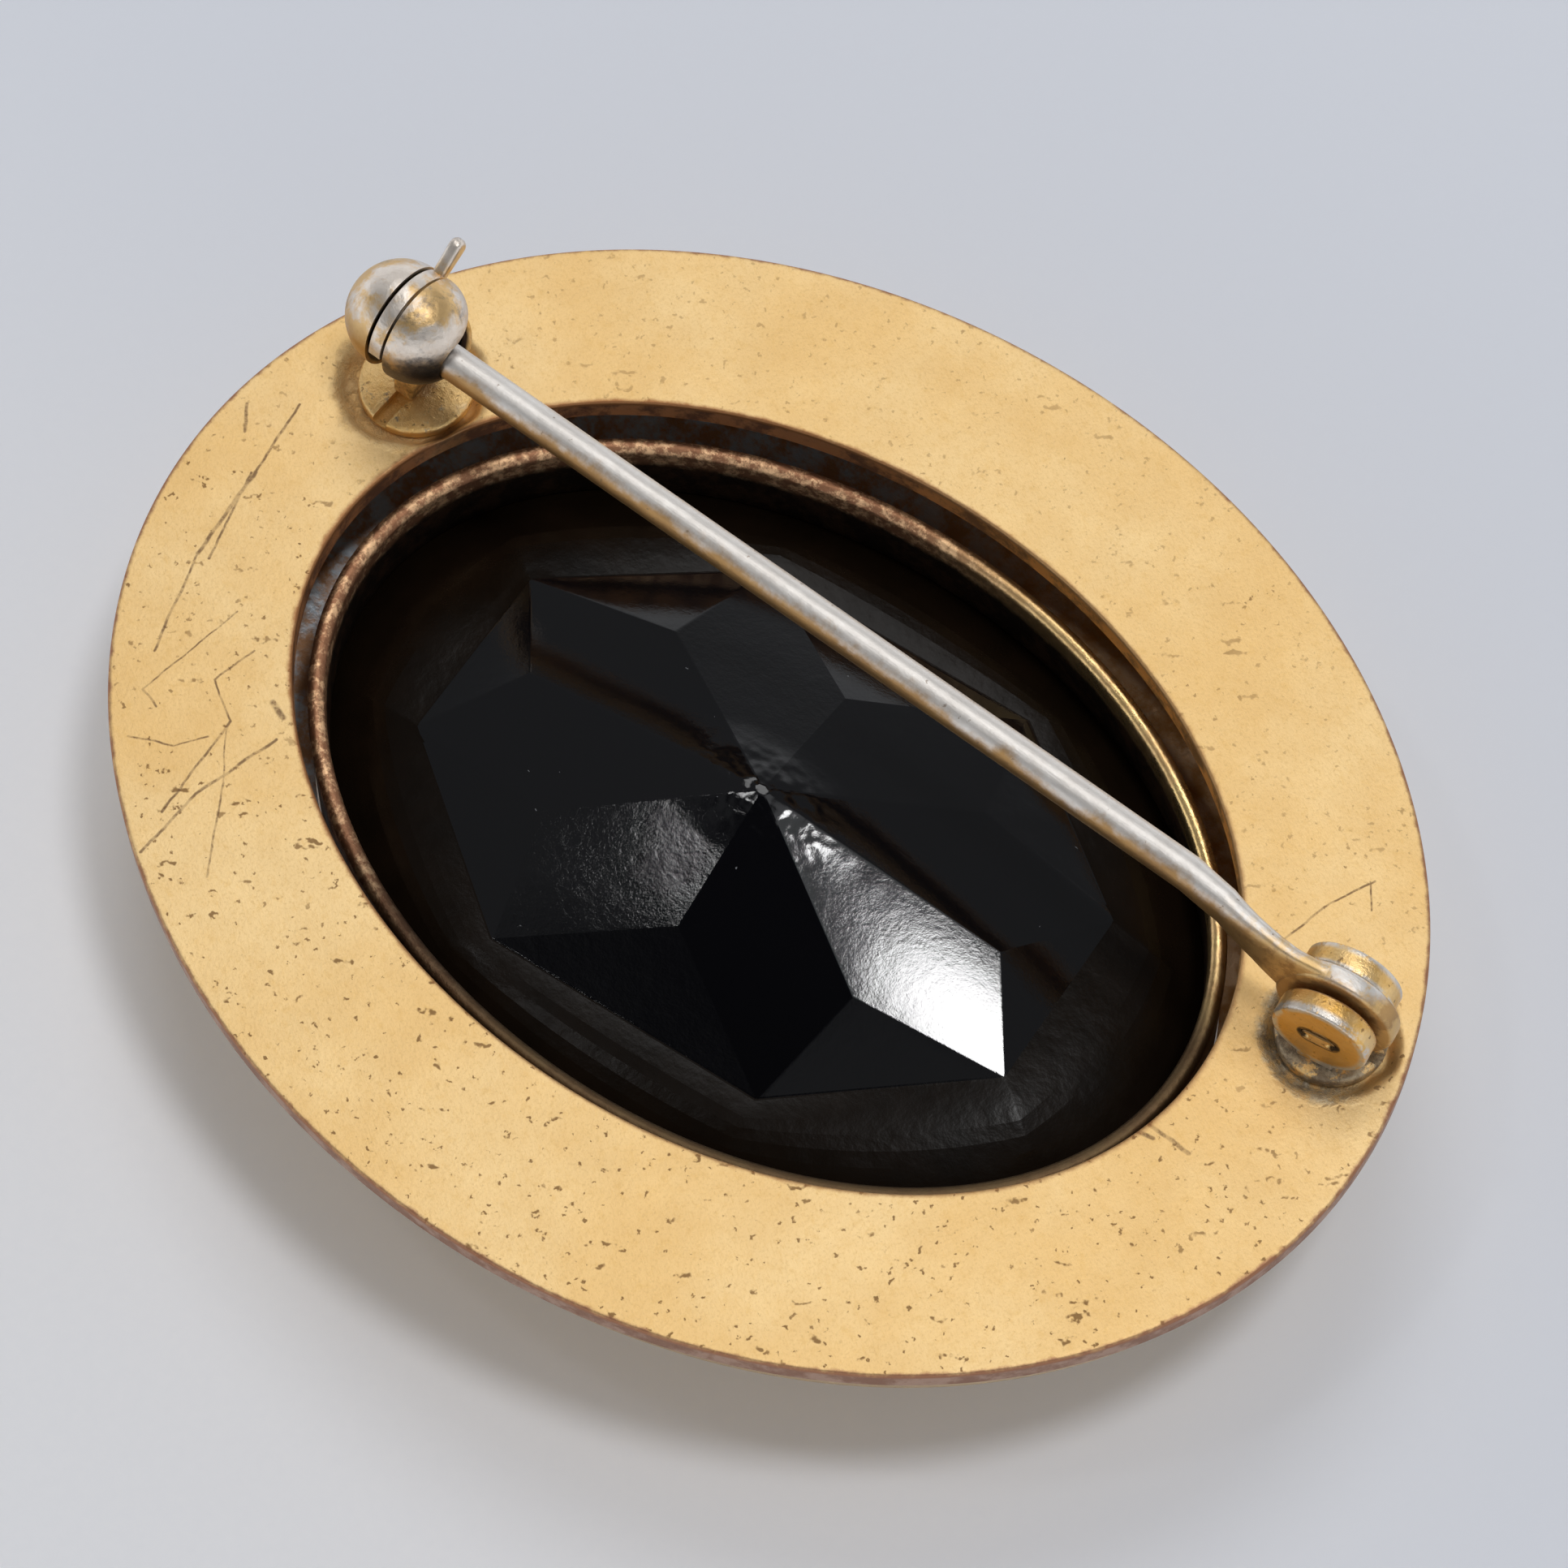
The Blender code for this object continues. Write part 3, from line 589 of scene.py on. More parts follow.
def plate_look():
    """Satin plating over copper: brushed grain, pits, scratches, worn rims and grey solder in the wells."""
    look = Look("plate_satin_gold")
    cloud = look.noise(0.16, 4, 0.6)
    colour = look.mix(look.step(cloud, 0.35, 0.68), GOLD, GOLD_LIGHT)
    mottle = look.noise(3.2, 5, 0.75)
    colour = look.over(colour, look.step(mottle, 0.48, 0.75), 0.35, GOLD_DEEP)
    grain = look.noise(1.0, 3, 0.6, look.stretched((3.0, 26.0, 3.0), GRAIN_TURN))
    colour = look.over(colour, look.step(grain, 0.5, 0.8), 0.3, GOLD_DEEP)
    sand = look.noise(11.0, 2, 0.6)
    colour = look.over(colour, look.step(sand, 0.5, 0.72), 0.35, (0.70, 0.46, 0.19))

    pits = plate_pits(look)
    marks = plate_scratches(look)
    colour = look.over(colour, pits, 0.8, (0.31, 0.17, 0.065))
    colour = look.over(colour, marks, 0.75, (0.22, 0.125, 0.075))
    colour = plate_rims(look, colour)
    colour, solder, patchy = plate_solder(look, colour)

    roughness = look.level(look.noise(0.7, 4, 0.6), 0.50, 0.60)
    roughness = look.plus(roughness, look.both(look.either(pits, look.either(marks, solder)), 0.15))
    look.bump(look.noise(1.0, 3, 0.6, look.stretched((5.0, 40.0, 5.0), GRAIN_TURN)), 0.003)
    look.uneven(7.0, 3, 0.65, 0.012)
    look.uneven(0.6, 2, 0.5, 0.004)
    look.bump(look.both(patchy, solder), 0.05)
    return look.done(colour, roughness)


def collar_look():
    """Bright gold towards the hinge, mottled copper towards the catch, painted shade over the near side,
    and dirt with painted shade down both walls.
    """
    look = Look("collar_gold")
    stain = look.patches(0.9, 5, 0.75, 0.42, 0.6)
    by_catch = look.step(look.towards(BY_CATCH), -0.25, 0.35)
    near = look.step(look.towards(SHADED_NEAR_SIDE), 0.1, 0.5)
    bright = look.mix(look.noise(1.8, 4, 0.6), (0.98, 0.74, 0.36), (0.86, 0.56, 0.22))
    mottle = look.patches(2.2, 5, 0.75, 0.45, 0.62)
    copper = look.mix(mottle, (0.40, 0.20, 0.11), (1.0, 0.66, 0.38))
    tarnish = look.either(look.both(stain, 0.35), by_catch)
    colour = look.mix(tarnish, bright, copper)
    # painted shade: the near side of the collar is painted almost black
    colour = look.over(colour, near, 0.92, (0.055, 0.032, 0.02))
    top = COLLAR_HIGH.z / MM
    ragged = look.both(look.noise(1.4, 5, 0.75), 0.5)
    height = look.minus(look.z, ragged)
    # painted shade with dirt: both walls are painted darker further down, the inner one near black
    shaded_low_walls = look.step(height, top - 0.85, top - 1.25)
    middle = (COLLAR_WALL / 2 + GROOVE) / MM
    inner = look.step(look.ellipse(HOLE_A - middle * MM, HOLE_B - middle * MM), 1.004, 0.996)
    groove = look.mix(stain, (0.22, 0.26, 0.29), (0.24, 0.13, 0.075))
    grime_and_shade = look.mix(stain, (0.035, 0.024, 0.018), (0.09, 0.05, 0.03))
    colour = look.mix(shaded_low_walls, colour, look.mix(inner, groove, grime_and_shade))
    front = look.step(look.z, 3.0, 2.6)
    colour = look.mix(front, colour, bright)
    back = look.minus(1.0, front)
    dull = look.both(look.either(look.either(tarnish, near), shaded_low_walls), back)
    look.uneven(2.4, 4, 0.6, 0.03)
    look.bump(look.both(look.noise(6.0, 4, 0.7), look.level(by_catch, 0.2, 1.0)), 0.03)
    return look.done(colour, look.level(dull, 0.26, 0.5))


def shell_look():
    """Polished plating with fine wear, greyer towards the plate's rim."""
    look = Look("shell_polished_gold")
    wear = look.patches(0.5, 5, 0.7, 0.45, 0.7)
    colour = look.mix(look.both(wear, 0.5), (0.84, 0.58, 0.25), (0.60, 0.47, 0.33))
    top = SHELL_HIGH.z / MM
    rim = look.step(look.plus(look.z, look.noise(1.2, 4, 0.7)), top - 0.5, top + 0.8)
    colour = look.over(colour, rim, 0.7, (0.50, 0.44, 0.40))
    scuffs = look.step(look.noise(1.0, 4, 0.6, look.stretched((0.7, 9.0, 7.0), 14)), 0.55, 0.8)
    roughness = look.level(look.either(wear, scuffs), 0.18, 0.34)
    look.bump(scuffs, 0.003)
    look.uneven(0.5, 3, 0.5, 0.03)
    return look.done(colour, roughness)


def cavity_look():
    """The shell's inside, which shows only down the groove: unplated and dark with age."""
    look = Look("shell_inside")
    stain = look.patches(0.8, 5, 0.75, 0.4, 0.62)
    hinge_end = look.step(look.towards(BY_HINGE), 0.2, 0.8)
    colour = look.mix(stain, (0.42, 0.46, 0.50), (0.50, 0.28, 0.15))
    colour = look.over(colour, hinge_end, 0.7, (0.62, 0.32, 0.09))
    look.uneven(2.5, 4, 0.7, 0.03)
    return look.done(colour, look.level(stain, 0.45, 0.65))


def small_gold_look(name, deep=0.5, silver=0.5):
    """Plating on the soldered findings, rubbed to grey metal in patches."""
    look = Look(name)
    cloud = look.noise(0.9, 4, 0.6)
    colour = look.mix(look.both(look.step(cloud, 0.35, 0.7), deep), GOLD, (0.72, 0.41, 0.10))
    rubbed = look.patches(1.1, 5, 0.65, 0.54, 0.68)
    colour = look.mix(look.both(rubbed, silver), colour, SILVER)
    dirt = look.either(look.specks(2.6, 0.26, 0.4), look.specks(5.0, 0.28, 0.3))
    colour = look.over(colour, dirt, 0.75, (0.22, 0.12, 0.05))
    look.uneven(3.0, 4, 0.6, 0.03)
    look.uneven(12.0, 3, 0.6, 0.008)
    return look, colour, look.level(cloud, 0.36, 0.5)


def solder_look(name, share):
    """Rough greyish solder over the gold, with share of the surface covered."""
    look, colour, _ = small_gold_look(name, 0.5, 0.2)
    patchy = look.step(look.noise(1.3, 5, 0.75), 0.62 - 0.3 * share, 0.72 - 0.3 * share)
    grey = look.mix(look.patches(2.2, 5, 0.75, 0.4, 0.62), (0.50, 0.43, 0.32), (0.20, 0.165, 0.13))
    colour = look.over(colour, patchy, 0.9, grey)
    look.uneven(2.6, 5, 0.7, 0.08)
    return look.done(colour, look.level(patchy, 0.42, 0.65))


def staked(look, colour):
    """Grime in the mark that the rivet was struck with: a groove round a flat bar, and two punch marks.

    The piece's Z is the rivet's axis.
    """
    reach, bar = STAKE_REACH / MM, STAKE_RADIUS / MM
    across = look.math("MAXIMUM", look.minus(look.math("ABSOLUTE", look.x), reach), 0.0)
    away = look.math("SQRT", look.plus(look.both(across, across), look.both(look.y, look.y)))
    off = look.math("ABSOLUTE", look.minus(away, bar + 0.03))
    ragged = look.both(look.noise(2.6, 4, 0.7), 0.08)
    groove = look.step(look.plus(off, ragged), 0.17, 0.1)
    past = look.minus(look.math("ABSOLUTE", look.x), reach + bar - 0.06)
    from_punch = look.math("SQRT", look.plus(look.both(past, past), look.both(look.y, look.y)))
    punch = look.step(look.plus(from_punch, ragged), 0.25, 0.17)
    colour = look.over(colour, groove, 0.8, (0.13, 0.07, 0.03))
    return look.mix(look.both(punch, 0.95), colour, (0.03, 0.02, 0.012))


def ear_look():
    """Golden faces, with the rounded corners rubbed to grey metal. The piece's Z is the rivet's axis."""
    look, colour, roughness = small_gold_look("ear_gold", 1.0, 0.1)
    inner = (EYE_THICK / 2 + REAR_GAP) / MM
    outer = inner + EAR_THICK / MM
    depth = look.math("ABSOLUTE", look.z)
    rounding = 0.2
    rim = EAR_RADIUS / MM
    out = look.step(look.from_axis(), rim - 1.5 * rounding, rim - 0.6 * rounding)
    at_face = look.either(look.step(depth, outer - 1.3 * rounding, outer - 0.4 * rounding),
                          look.step(depth, inner + 1.0 * rounding, inner + 0.3 * rounding))
    ragged = look.patches(1.6, 4, 0.7, 0.34, 0.5)
    worn = look.both(look.both(out, at_face), ragged)
    colour = look.over(colour, worn, 0.9, (0.70, 0.67, 0.63))
    face = look.both(look.step(depth, outer - 0.12, outer - 0.04), look.minus(1.0, worn))
    colour = look.over(colour, face, 0.55, (0.80, 0.44, 0.08))
    return look.done(staked(look, colour), roughness)


def mottled_look(name, gold_share=0.5):
    """Grey metal with soft-edged gold and dark tarnish, as on the ball catch."""
    look = Look(name)
    islands = look.noise(0.7, 5, 0.68, bend=0.3)
    shine = look.mix(look.noise(2.0, 4, 0.65), (0.62, 0.53, 0.45), (0.95, 0.88, 0.80))
    gold = look.mix(look.noise(1.6, 4, 0.65), (0.86, 0.58, 0.24), (0.62, 0.38, 0.14))
    edge = 0.5 + (0.5 - gold_share) * 0.3
    colour = look.mix(look.both(look.step(islands, edge - 0.04, edge + 0.12), 0.9), shine, gold)
    dark = look.step(look.noise(0.9, 5, 0.75, bend=0.3), 0.54, 0.72)
    colour = look.over(colour, dark, 0.75, (0.20, 0.17, 0.155))
    look.uneven(1.0, 3, 0.5, 0.06)
    look.uneven(5.0, 5, 0.7, 0.02)
    return look, colour, look.level(look.noise(2.5, 4, 0.6), 0.30, 0.48)


def dome_look():
    """The mottled metal, gold low down where nothing rubs it, with a painted dark reflection below the pin
    and painted shade inside the ball.
    """
    look, colour, roughness = mottled_look("dome_worn", 0.62)
    ragged = look.both(look.noise(1.1, 5, 0.7), 1.4)
    below = look.step(look.plus(look.y, ragged), 1.75, 0.8)
    colour = look.over(colour, below, 0.88, (0.54, 0.31, 0.095))
    # painted dark reflection: a near-black patch on the cup, below the pin on its near side
    patch = look.plus(look.both(look.minus(look.z, look.x), 0.5), look.both(look.y, -0.5))
    patch = look.step(look.plus(patch, ragged), 1.5, 1.9)
    colour = look.over(colour, patch, 0.85, (0.075, 0.07, 0.07))
    # painted shade: the inside of the hollow ball is painted near black
    along = look.minus(look.math("ABSOLUTE", look.z), RIM_OFFSET / MM)
    from_middle = look.node("ShaderNodeCombineXYZ", {0: look.x, 1: look.y, 2: along}).outputs[0]
    within = look.vector("LENGTH", from_middle)
    inside = look.step(within, BALL_RADIUS / MM - 0.04, BALL_RADIUS / MM - 0.16)
    colour = look.mix(inside, colour, (0.03, 0.018, 0.012))
    return look.done(colour, roughness)


def pin_look():
    """Bright wire: rubbed grey on top, with the gold left along its sides and towards the eye."""
    look = Look("pin_worn_nickel")
    radius = PIN_RADIUS / MM
    # the pin's own space has its origin on the rivet, so the wire's middle is here
    side = look.minus(look.y, (PIN_Y - HINGE.y) / MM)
    up = look.minus(look.z, (PIN_Z - HINGE.z) / MM)
    ragged = look.minus(look.noise(0.55, 5, 0.7), 0.5)
    facing = look.plus(look.plus(look.both(side, 0.8), up), look.both(ragged, 1.6))
    top = look.step(facing, -0.35 * radius, 0.65 * radius)
    steel = look.mix(look.noise(1.2, 5, 0.7), (0.64, 0.59, 0.54), (0.92, 0.89, 0.85))
    colour = look.mix(top, look.mix(look.noise(0.9, 4, 0.6), (0.64, 0.40, 0.16), (0.34, 0.20, 0.10)), steel)
    towards_eye = look.step(look.x, -4.5, -1.5)
    islands = look.patches(0.85, 5, 0.7, 0.44, 0.58)
    colour = look.over(colour, look.both(towards_eye, islands), 0.85, (0.76, 0.52, 0.23))
    specks = look.specks(3.4, 0.2, 0.2)
    colour = look.over(colour, specks, 0.6, (0.25, 0.17, 0.11))
    draw = look.noise(1.0, 4, 0.65, look.scaled((1.2, 14.0, 14.0)))
    look.bump(draw, 0.006)
    look.uneven(1.3, 4, 0.6, 0.03)
    return look.done(colour, look.level(draw, 0.42, 0.56))


def border_look():
    """The stone's border, left as it came from the mould: duller than the facets, with a brown cast."""
    look = Look("black_glass_border", metallic=0.0)
    colour = look.mix(look.noise(0.5, 3, 0.6), (0.003, 0.002, 0.001), (0.011, 0.006, 0.003))
    look.uneven(1.2, 4, 0.6, 0.02)
    return look.done(colour, look.level(look.noise(1.4, 4, 0.6), 0.18, 0.32), Specular_IOR_Level=0.12)


def glass_look():
    """Opaque black glass with a slightly uneven fire-polished skin and a little dust."""
    look = Look("black_glass", metallic=0.0)
    dust = look.specks(1.1, 0.05, 0.25)
    colour = look.mix(look.both(dust, 0.5), (0.003, 0.003, 0.004), (0.35, 0.36, 0.38))
    look.uneven(0.3, 2, 0.4, 0.014)
    look.uneven(2.2, 5, 0.78, 0.0045)
    # the moulded facets are lumpy where they meet
    from_culet = look.vector("LENGTH", look.scaled((0.55, 1, 0)))
    look.bump(look.both(look.noise(0.85, 2, 0.5), look.step(from_culet, 2.2, 0.3)), 0.12)
    return look.done(colour, look.level(look.noise(1.4, 4, 0.6), 0.03, 0.09), IOR=1.5)


# ---- the setting

def back_plate():
    """The flat ring on a fine grid, with soft edges and two wells."""
    rows, around = 72, 640
    bottom = PLATE_LOW.z - PLATE_TOP
    bm = bmesh.new()
    rings = []
    edge = PLATE_EDGE
    rounding = [(-edge * sin(t * DEG), -edge * (1 - cos(t * DEG))) for t in (90, 67, 45, 22)]
    for out, down in rounding:
        rings.append([(HOLE_A + edge + out, HOLE_B + edge + out, down)] * around)
    for i in range(rows + 1):
        share = i / rows
        a = HOLE_A + edge + (PLATE_A - HOLE_A - 2 * edge) * share
        b = HOLE_B + edge + (PLATE_B - HOLE_B - 2 * edge) * share
        rings.append([(a, b, 0.0)] * around)
    for out, down in reversed(rounding):
        rings.append([(PLATE_A - edge - out, PLATE_B - edge - out, down)] * around)
    rings.append([(PLATE_A, PLATE_B, bottom + edge / 2)] * around)
    rings.append([(PLATE_A - edge, PLATE_B - edge, bottom)] * around)
    rings.append([(HOLE_A, HOLE_B, bottom)] * around)
    made = []
    for ring in rings:
        verts = []
        for k, (a, b, down) in enumerate(ring):
            t = 2 * math.pi * k / around
            x, y = a * cos(t), b * sin(t)
            sink = 0.0
            if down > -edge:
                for wx, wy, radius in WELLS:
                    away = math.hypot(x - wx, y - wy)
                    # the wells were cut by hand, so they aren't quite round
                    turn = math.atan2(y - wy, x - wx)
                    wander = sin(3 * turn + 1) + 0.7 * sin(7 * turn) + 0.4 * sin(13 * turn)
                    inside = radius + WELL_WANDER * wander - away
                    sink = max(sink, WELL_DEPTH * smooth(inside / WELL_SLOPE))
            verts.append(bm.verts.new((x, y, PLATE_TOP + down - sink)))
        made.append(verts)
    skin(bm, made, closed=True)
    piece(finish_mesh("back_plate_satin", bm, plate_look()), "back_plate")


def front_shell():
    """The dished outer hoop: a quarter oval from the plate's rim down to the collar."""
    top = SHELL_HIGH.z
    reach_a = SHELL_HIGH.x - (COLLAR_HIGH.x + SEAT_GAP)
    reach_b = SHELL_HIGH.y - (COLLAR_HIGH.y + SEAT_GAP)
    steps = 28

    def curve(wall):
        for i in range(steps + 1):
            t = math.pi / 2 * i / steps
            inset = 1 - cos(t) * (1 - wall / reach_a)
            yield (SHELL_HIGH.x - reach_a * inset, SHELL_HIGH.y - reach_b * inset,
                   top - (top - SHELL_LOW.z - wall) * sin(t))

    profile = list(curve(0.0)) + list(reversed(list(curve(SHELL_WALL))))
    around = 360
    shell = finish_mesh("front_shell_polished", oval_ring(profile, around), shell_look())
    shell.data.materials.append(cavity_look())
    for face in shell.data.polygons[steps * around:]:
        face.material_index = 1
    piece(shell, "front_shell")


def bezel_collar():
    """The cup round the stone: a rounded back edge, a seat, and a lip over the stone's front bevel."""
    outer, inner = GROOVE, GROOVE + COLLAR_WALL
    middle, half = (outer + inner) / 2, COLLAR_WALL / 2
    profile = []
    for i in range(17):
        t = math.pi * i / 16
        profile.append((middle + half * cos(t), COLLAR_HIGH.z - half * (1 - sin(t))))
    girdle = GIRDLE_INSET - SEAT_GAP
    low = COLLAR_LOW.z
    crown = GIRDLE_INSET + (GIRDLE_LOW - low - LIP_RISE) / GIRDLE_LOW * (TABLE_INSET - GIRDLE_INSET)
    lip = crown - SEAT_GAP
    for t in (0, 30, 60, 90):
        inwards, up = 1 - cos(t * DEG), 1 - sin(t * DEG)
        profile.append((outer + LIP_ROUNDING_IN * inwards, low + LIP_ROUNDING_UP * up))
    profile += [
        (lip - LIP_EDGE, low),
        (lip, low + LIP_RISE),
        (girdle, GIRDLE_LOW - SEAT_GAP),
        (girdle, GIRDLE_TOP + SEAT_GAP),
        (inner, GIRDLE_TOP + SEAT_GAP + SEAT_STEP),
    ]
    rings = [(HOLE_A - i, HOLE_B - i, z) for i, z in profile]
    collar = finish_mesh("bezel_collar_gold", oval_ring(rings, 480), collar_look(), sharp=50)
    piece(collar, "bezel_collar")


def stone():
    """Eight kites round a worn culet, eight triangles, a domed border, a girdle and a bevelled front."""
    bm = bmesh.new()
    long, short, (dx, dy) = KITE_LONG, KITE_SHORT, KITE_DIAGONAL
    joints = [(long, 0), (dx, dy), (0, short), (-dx, dy), (-long, 0), (-dx, -dy), (0, -short), (dx, -dy)]
    (ax, ay), (bx, by) = TIP_LONG, TIP_SHORT
    tips = [(ax, ay), (bx, by), (-bx, by), (-ax, ay), (-ax, -ay), (-bx, -by), (bx, -by), (ax, -ay)]
    turn = Matrix.Rotation(FACET_TURN, 2)
    joints = [turn @ Vector(point) for point in joints]
    tips = [turn @ Vector(point) for point in tips]
    sides = [Matrix((joints[k], joints[(k + 1) % 8])) for k in range(8)]
    falls = [side.inverted() @ Vector((KITE_DROP, KITE_DROP)) for side in sides]
    tips = [Vector((*point, CULET_Z - fall.dot(point))) for point, fall in zip(tips, falls)]
    worn = CULET_SIZE
    culet = [bm.verts.new((x * worn, y * worn, CULET_Z - KITE_DROP * worn)) for x, y in joints]
    meet = [bm.verts.new((x, y, CULET_Z - KITE_DROP)) for x, y in joints]
    tip = [bm.verts.new(point) for point in tips]
    bm.faces.new(culet)
    per_side = 24
    edge, girdle = [], []
    for k in range(8):
        for i in range(per_side):
            point = tips[k].lerp(tips[(k + 1) % 8], i / per_side)
            edge.append(bm.verts.new(point) if i else tip[k])
            girdle.append((22.5 + 45 * (k + i / per_side)) * DEG)
    for k in range(8):
        n = (k + 1) % 8
        bm.faces.new([culet[k], culet[n], meet[n], meet[k]])
        bm.faces.new([meet[k], meet[n], tip[k]])
        side = [edge[(k * per_side + i) % len(edge)] for i in range(per_side + 1)]
        bm.faces.new([meet[n], *reversed(side)])
    rings = [edge]
    a, b = STONE_HIGH.x, STONE_HIGH.y
    rows = 8
    for r in range(1, rows + 1):
        share = r / rows
        ring = []
        for vert, t in zip(edge, girdle):
            end = Vector(on_oval(a, b, GIRDLE_TOP, t))
            # the border swells a little above the straight line between its edges
            swell = BORDER_SWELL * sin(math.pi * share)
            ring.append(bm.verts.new(vert.co.lerp(end, share) + Vector((0, 0, swell))))
        rings.append(ring)
    for inset, z in ((0.0, GIRDLE_LOW), (TABLE_INSET - GIRDLE_INSET, 0.0)):
        rings.append([bm.verts.new(on_oval(a - inset, b - inset, z, t)) for t in girdle])
    border_start = len(bm.faces)
    border_end = border_start + rows * len(edge)
    for low, high in zip(rings, rings[1:]):
        for i in range(len(low)):
            j = (i + 1) % len(low)
            bm.faces.new([low[i], low[j], high[j], high[i]])
    bm.faces.new(rings[-1])
    obj = finish_mesh("stone_black_glass", bm, glass_look(), sharp=FACET_ANGLE)
    obj.data.materials.append(border_look())
    for face in obj.data.polygons[border_start:border_end]:
        face.material_index = 1
    bevel(obj, FACET_EDGE, 2, FACET_ANGLE, sharp=4)
    piece(obj, "stone")


# ---- the pin and its hinge

def pin_section(bm, middle, thick, tall, square, steps=40):
    """One cross-section of the pin: an oval at square = 2, nearing a rounded strip as square grows."""
    points = []
    for i in range(steps):
        t = 2 * math.pi * i / steps
        c, s = cos(t), sin(t)
        u = math.copysign(abs(c) ** (2 / square), c) * thick / 2
        v = math.copysign(abs(s) ** (2 / square), s) * tall / 2
        points.append(bm.verts.new(middle + Vector((0, u, v))))
    return points


def pin_stem():
    """Round wire, pointed at the catch, flattened and set over into the eye that turns on the rivet."""
    wire = 2 * PIN_RADIUS
    run = HINGE.x - PIN_ROUND_END
    top = PIN_Z + PIN_RADIUS
    fall = top - (HINGE.z + EYE_RADIUS - EYE_SHOULDER)
    stations = [(PIN_TIP_X + HAIR, 0, 0, 0.08, 0.08, 2)]
    for i in range(1, 9):
        share = i / 8
        size = 0.3 + 0.7 * sin(share * math.pi / 2) if i > 1 else 0.34
        stations.append((PIN_TIP_X + PIN_TAPER * share, 0, 0, size, size, 2))
    span = PIN_ROUND_END - PIN_TIP_X - PIN_TAPER
    for i in range(1, 61):
        stations.append((PIN_TIP_X + PIN_TAPER + span * i / 60, 0, 0, 1, 1, 2))
    keys = [(0, 0, 0, 1, 1, 2), *PIN_FLATTENING]
    for i in range(1, 41):
        share = i / 40
        low, high = next((a, b) for a, b in zip(keys, keys[1:]) if share <= b[0])
        ease = (share - low[0]) / (high[0] - low[0])
        values = [p + (q - p) * ease for p, q in zip(low[1:], high[1:])]
        stations.append((PIN_ROUND_END + run * share, *values))
    bm = bmesh.new()
    rings = []
    for x, share, drop, thin, high, square in stations:
        thick, tall = thin * wire, high * wire
        eye_y = HINGE.y + (x - HINGE.x) * math.tan(HINGE_TURN)
        y = PIN_Y + (eye_y - PIN_Y) * share
        z = PIN_Z if high <= 1 else top - fall * drop - tall / 2
        bow = PIN_BOW * sin(x / PIN_BOW_LENGTH)
        rings.append(pin_section(bm, Vector((x, y + bow * (1 - share), z)), thick, tall, square))
    skin(bm, rings)
    for vert in bm.verts:
        vert.co -= HINGE
    pin = finish_mesh("pin_wire", bm, pin_look(), Matrix.Translation(HINGE), sharp=50)
    half = EYE_THICK / 2
    boolean(pin, finish_mesh("eye", disc(EYE_RADIUS, -half, half, EYE_EDGE), place=AT_HINGE), "UNION")
    cut(pin, disc(RIVET_RADIUS + EYE_CLEARANCE, -4 * half, 4 * half), AT_HINGE)
    piece(pin, "pin_stem", body="pin")


def hinge():
    """The slotted base, the two thick round ears, and the rivet with its staked ends."""
    plain = solder_look("hinge_base_solder", 0.8)
    foot = Matrix.Translation((HINGE.x, HINGE.y, 0)) @ Matrix.Rotation(HINGE_TURN, 4, "Z")
    radius = (HINGE_BASE_HIGH.x - HINGE_BASE_LOW.x) / 2
    top = HINGE_BASE_HIGH.z
    base = finish_mesh("hinge_base_disc", disc(radius, HINGE_BASE_LOW.z, top, HINGE_BASE_EDGE), plain, foot)
    half = EYE_THICK / 2 + REAR_GAP
    cut(base, box((-2 * radius, -half, top - HINGE_SLOT_DEPTH), (2 * radius, half, top + radius)), foot)
    piece(base, "hinge_base")

    foot_low = top + HAIR - HINGE.z
    corner = math.degrees(math.acos(EAR_FOOT / 2 / EAR_RADIUS))
    outline = arc(EAR_RADIUS, -corner, 180 + corner, 96)
    outline += [(-EAR_FOOT / 2, foot_low), (EAR_FOOT / 2, foot_low)]
    worn = ear_look()
    for name, side, gap in (("hinge_front_ear", 1, FRONT_GAP), ("hinge_rear_ear", -1, REAR_GAP)):
        near = EYE_THICK / 2 + gap
        low, high = sorted((side * near, side * (near + EAR_THICK)))
        ear = finish_mesh(name + "_disc", slab(outline, low, high), worn, AT_HINGE)
        bevel(ear, EAR_EDGE, 5)
        cut(ear, disc(RIVET_RADIUS + EAR_CLEARANCE, low - half, high + half), AT_HINGE)
        piece(ear, name)

    look, colour, roughness = small_gold_look("rivet_worn_gold", 0.8, 0.2)
    end = EYE_THICK / 2 + EAR_THICK
    shank = disc(RIVET_RADIUS, -end - REAR_GAP, end + FRONT_GAP, RIVET_EDGE)
    rivet = finish_mesh("rivet_staked", shank, look.done(staked(look, colour), roughness), AT_HINGE)
    # each end is struck into a low flat bar with a punch mark at both of its ends
    stadium = arc(STAKE_RADIUS, -90, 90, 16, (STAKE_REACH, 0))
    stadium += arc(STAKE_RADIUS, 90, 270, 16, (-STAKE_REACH, 0))
    for side, gap in ((1, FRONT_GAP), (-1, REAR_GAP)):
        out = end + gap
        low, high = sorted((side * (out - STAKE_SUNK), side * (out + STAKE_PROUD)))
        head = finish_mesh("head", slab(stadium, low, high), place=AT_HINGE)
        bevel(head, STAKE_EDGE, 3, 40)
        boolean(rivet, head, "UNION")
        for x in (-1, 1):
            point = [(0, 0), (PUNCH_RADIUS, side * PUNCH_TAPER), (PUNCH_RADIUS, side * PUNCH_LENGTH)]
            at = AT_HINGE @ Matrix.Translation((x * STAKE_REACH * 1.25, 0, side * (out - PUNCH_DEPTH)))
            cut(rivet, turned(point, 32), at)
    piece(rivet, "hinge_rivet")


# ---- the catch

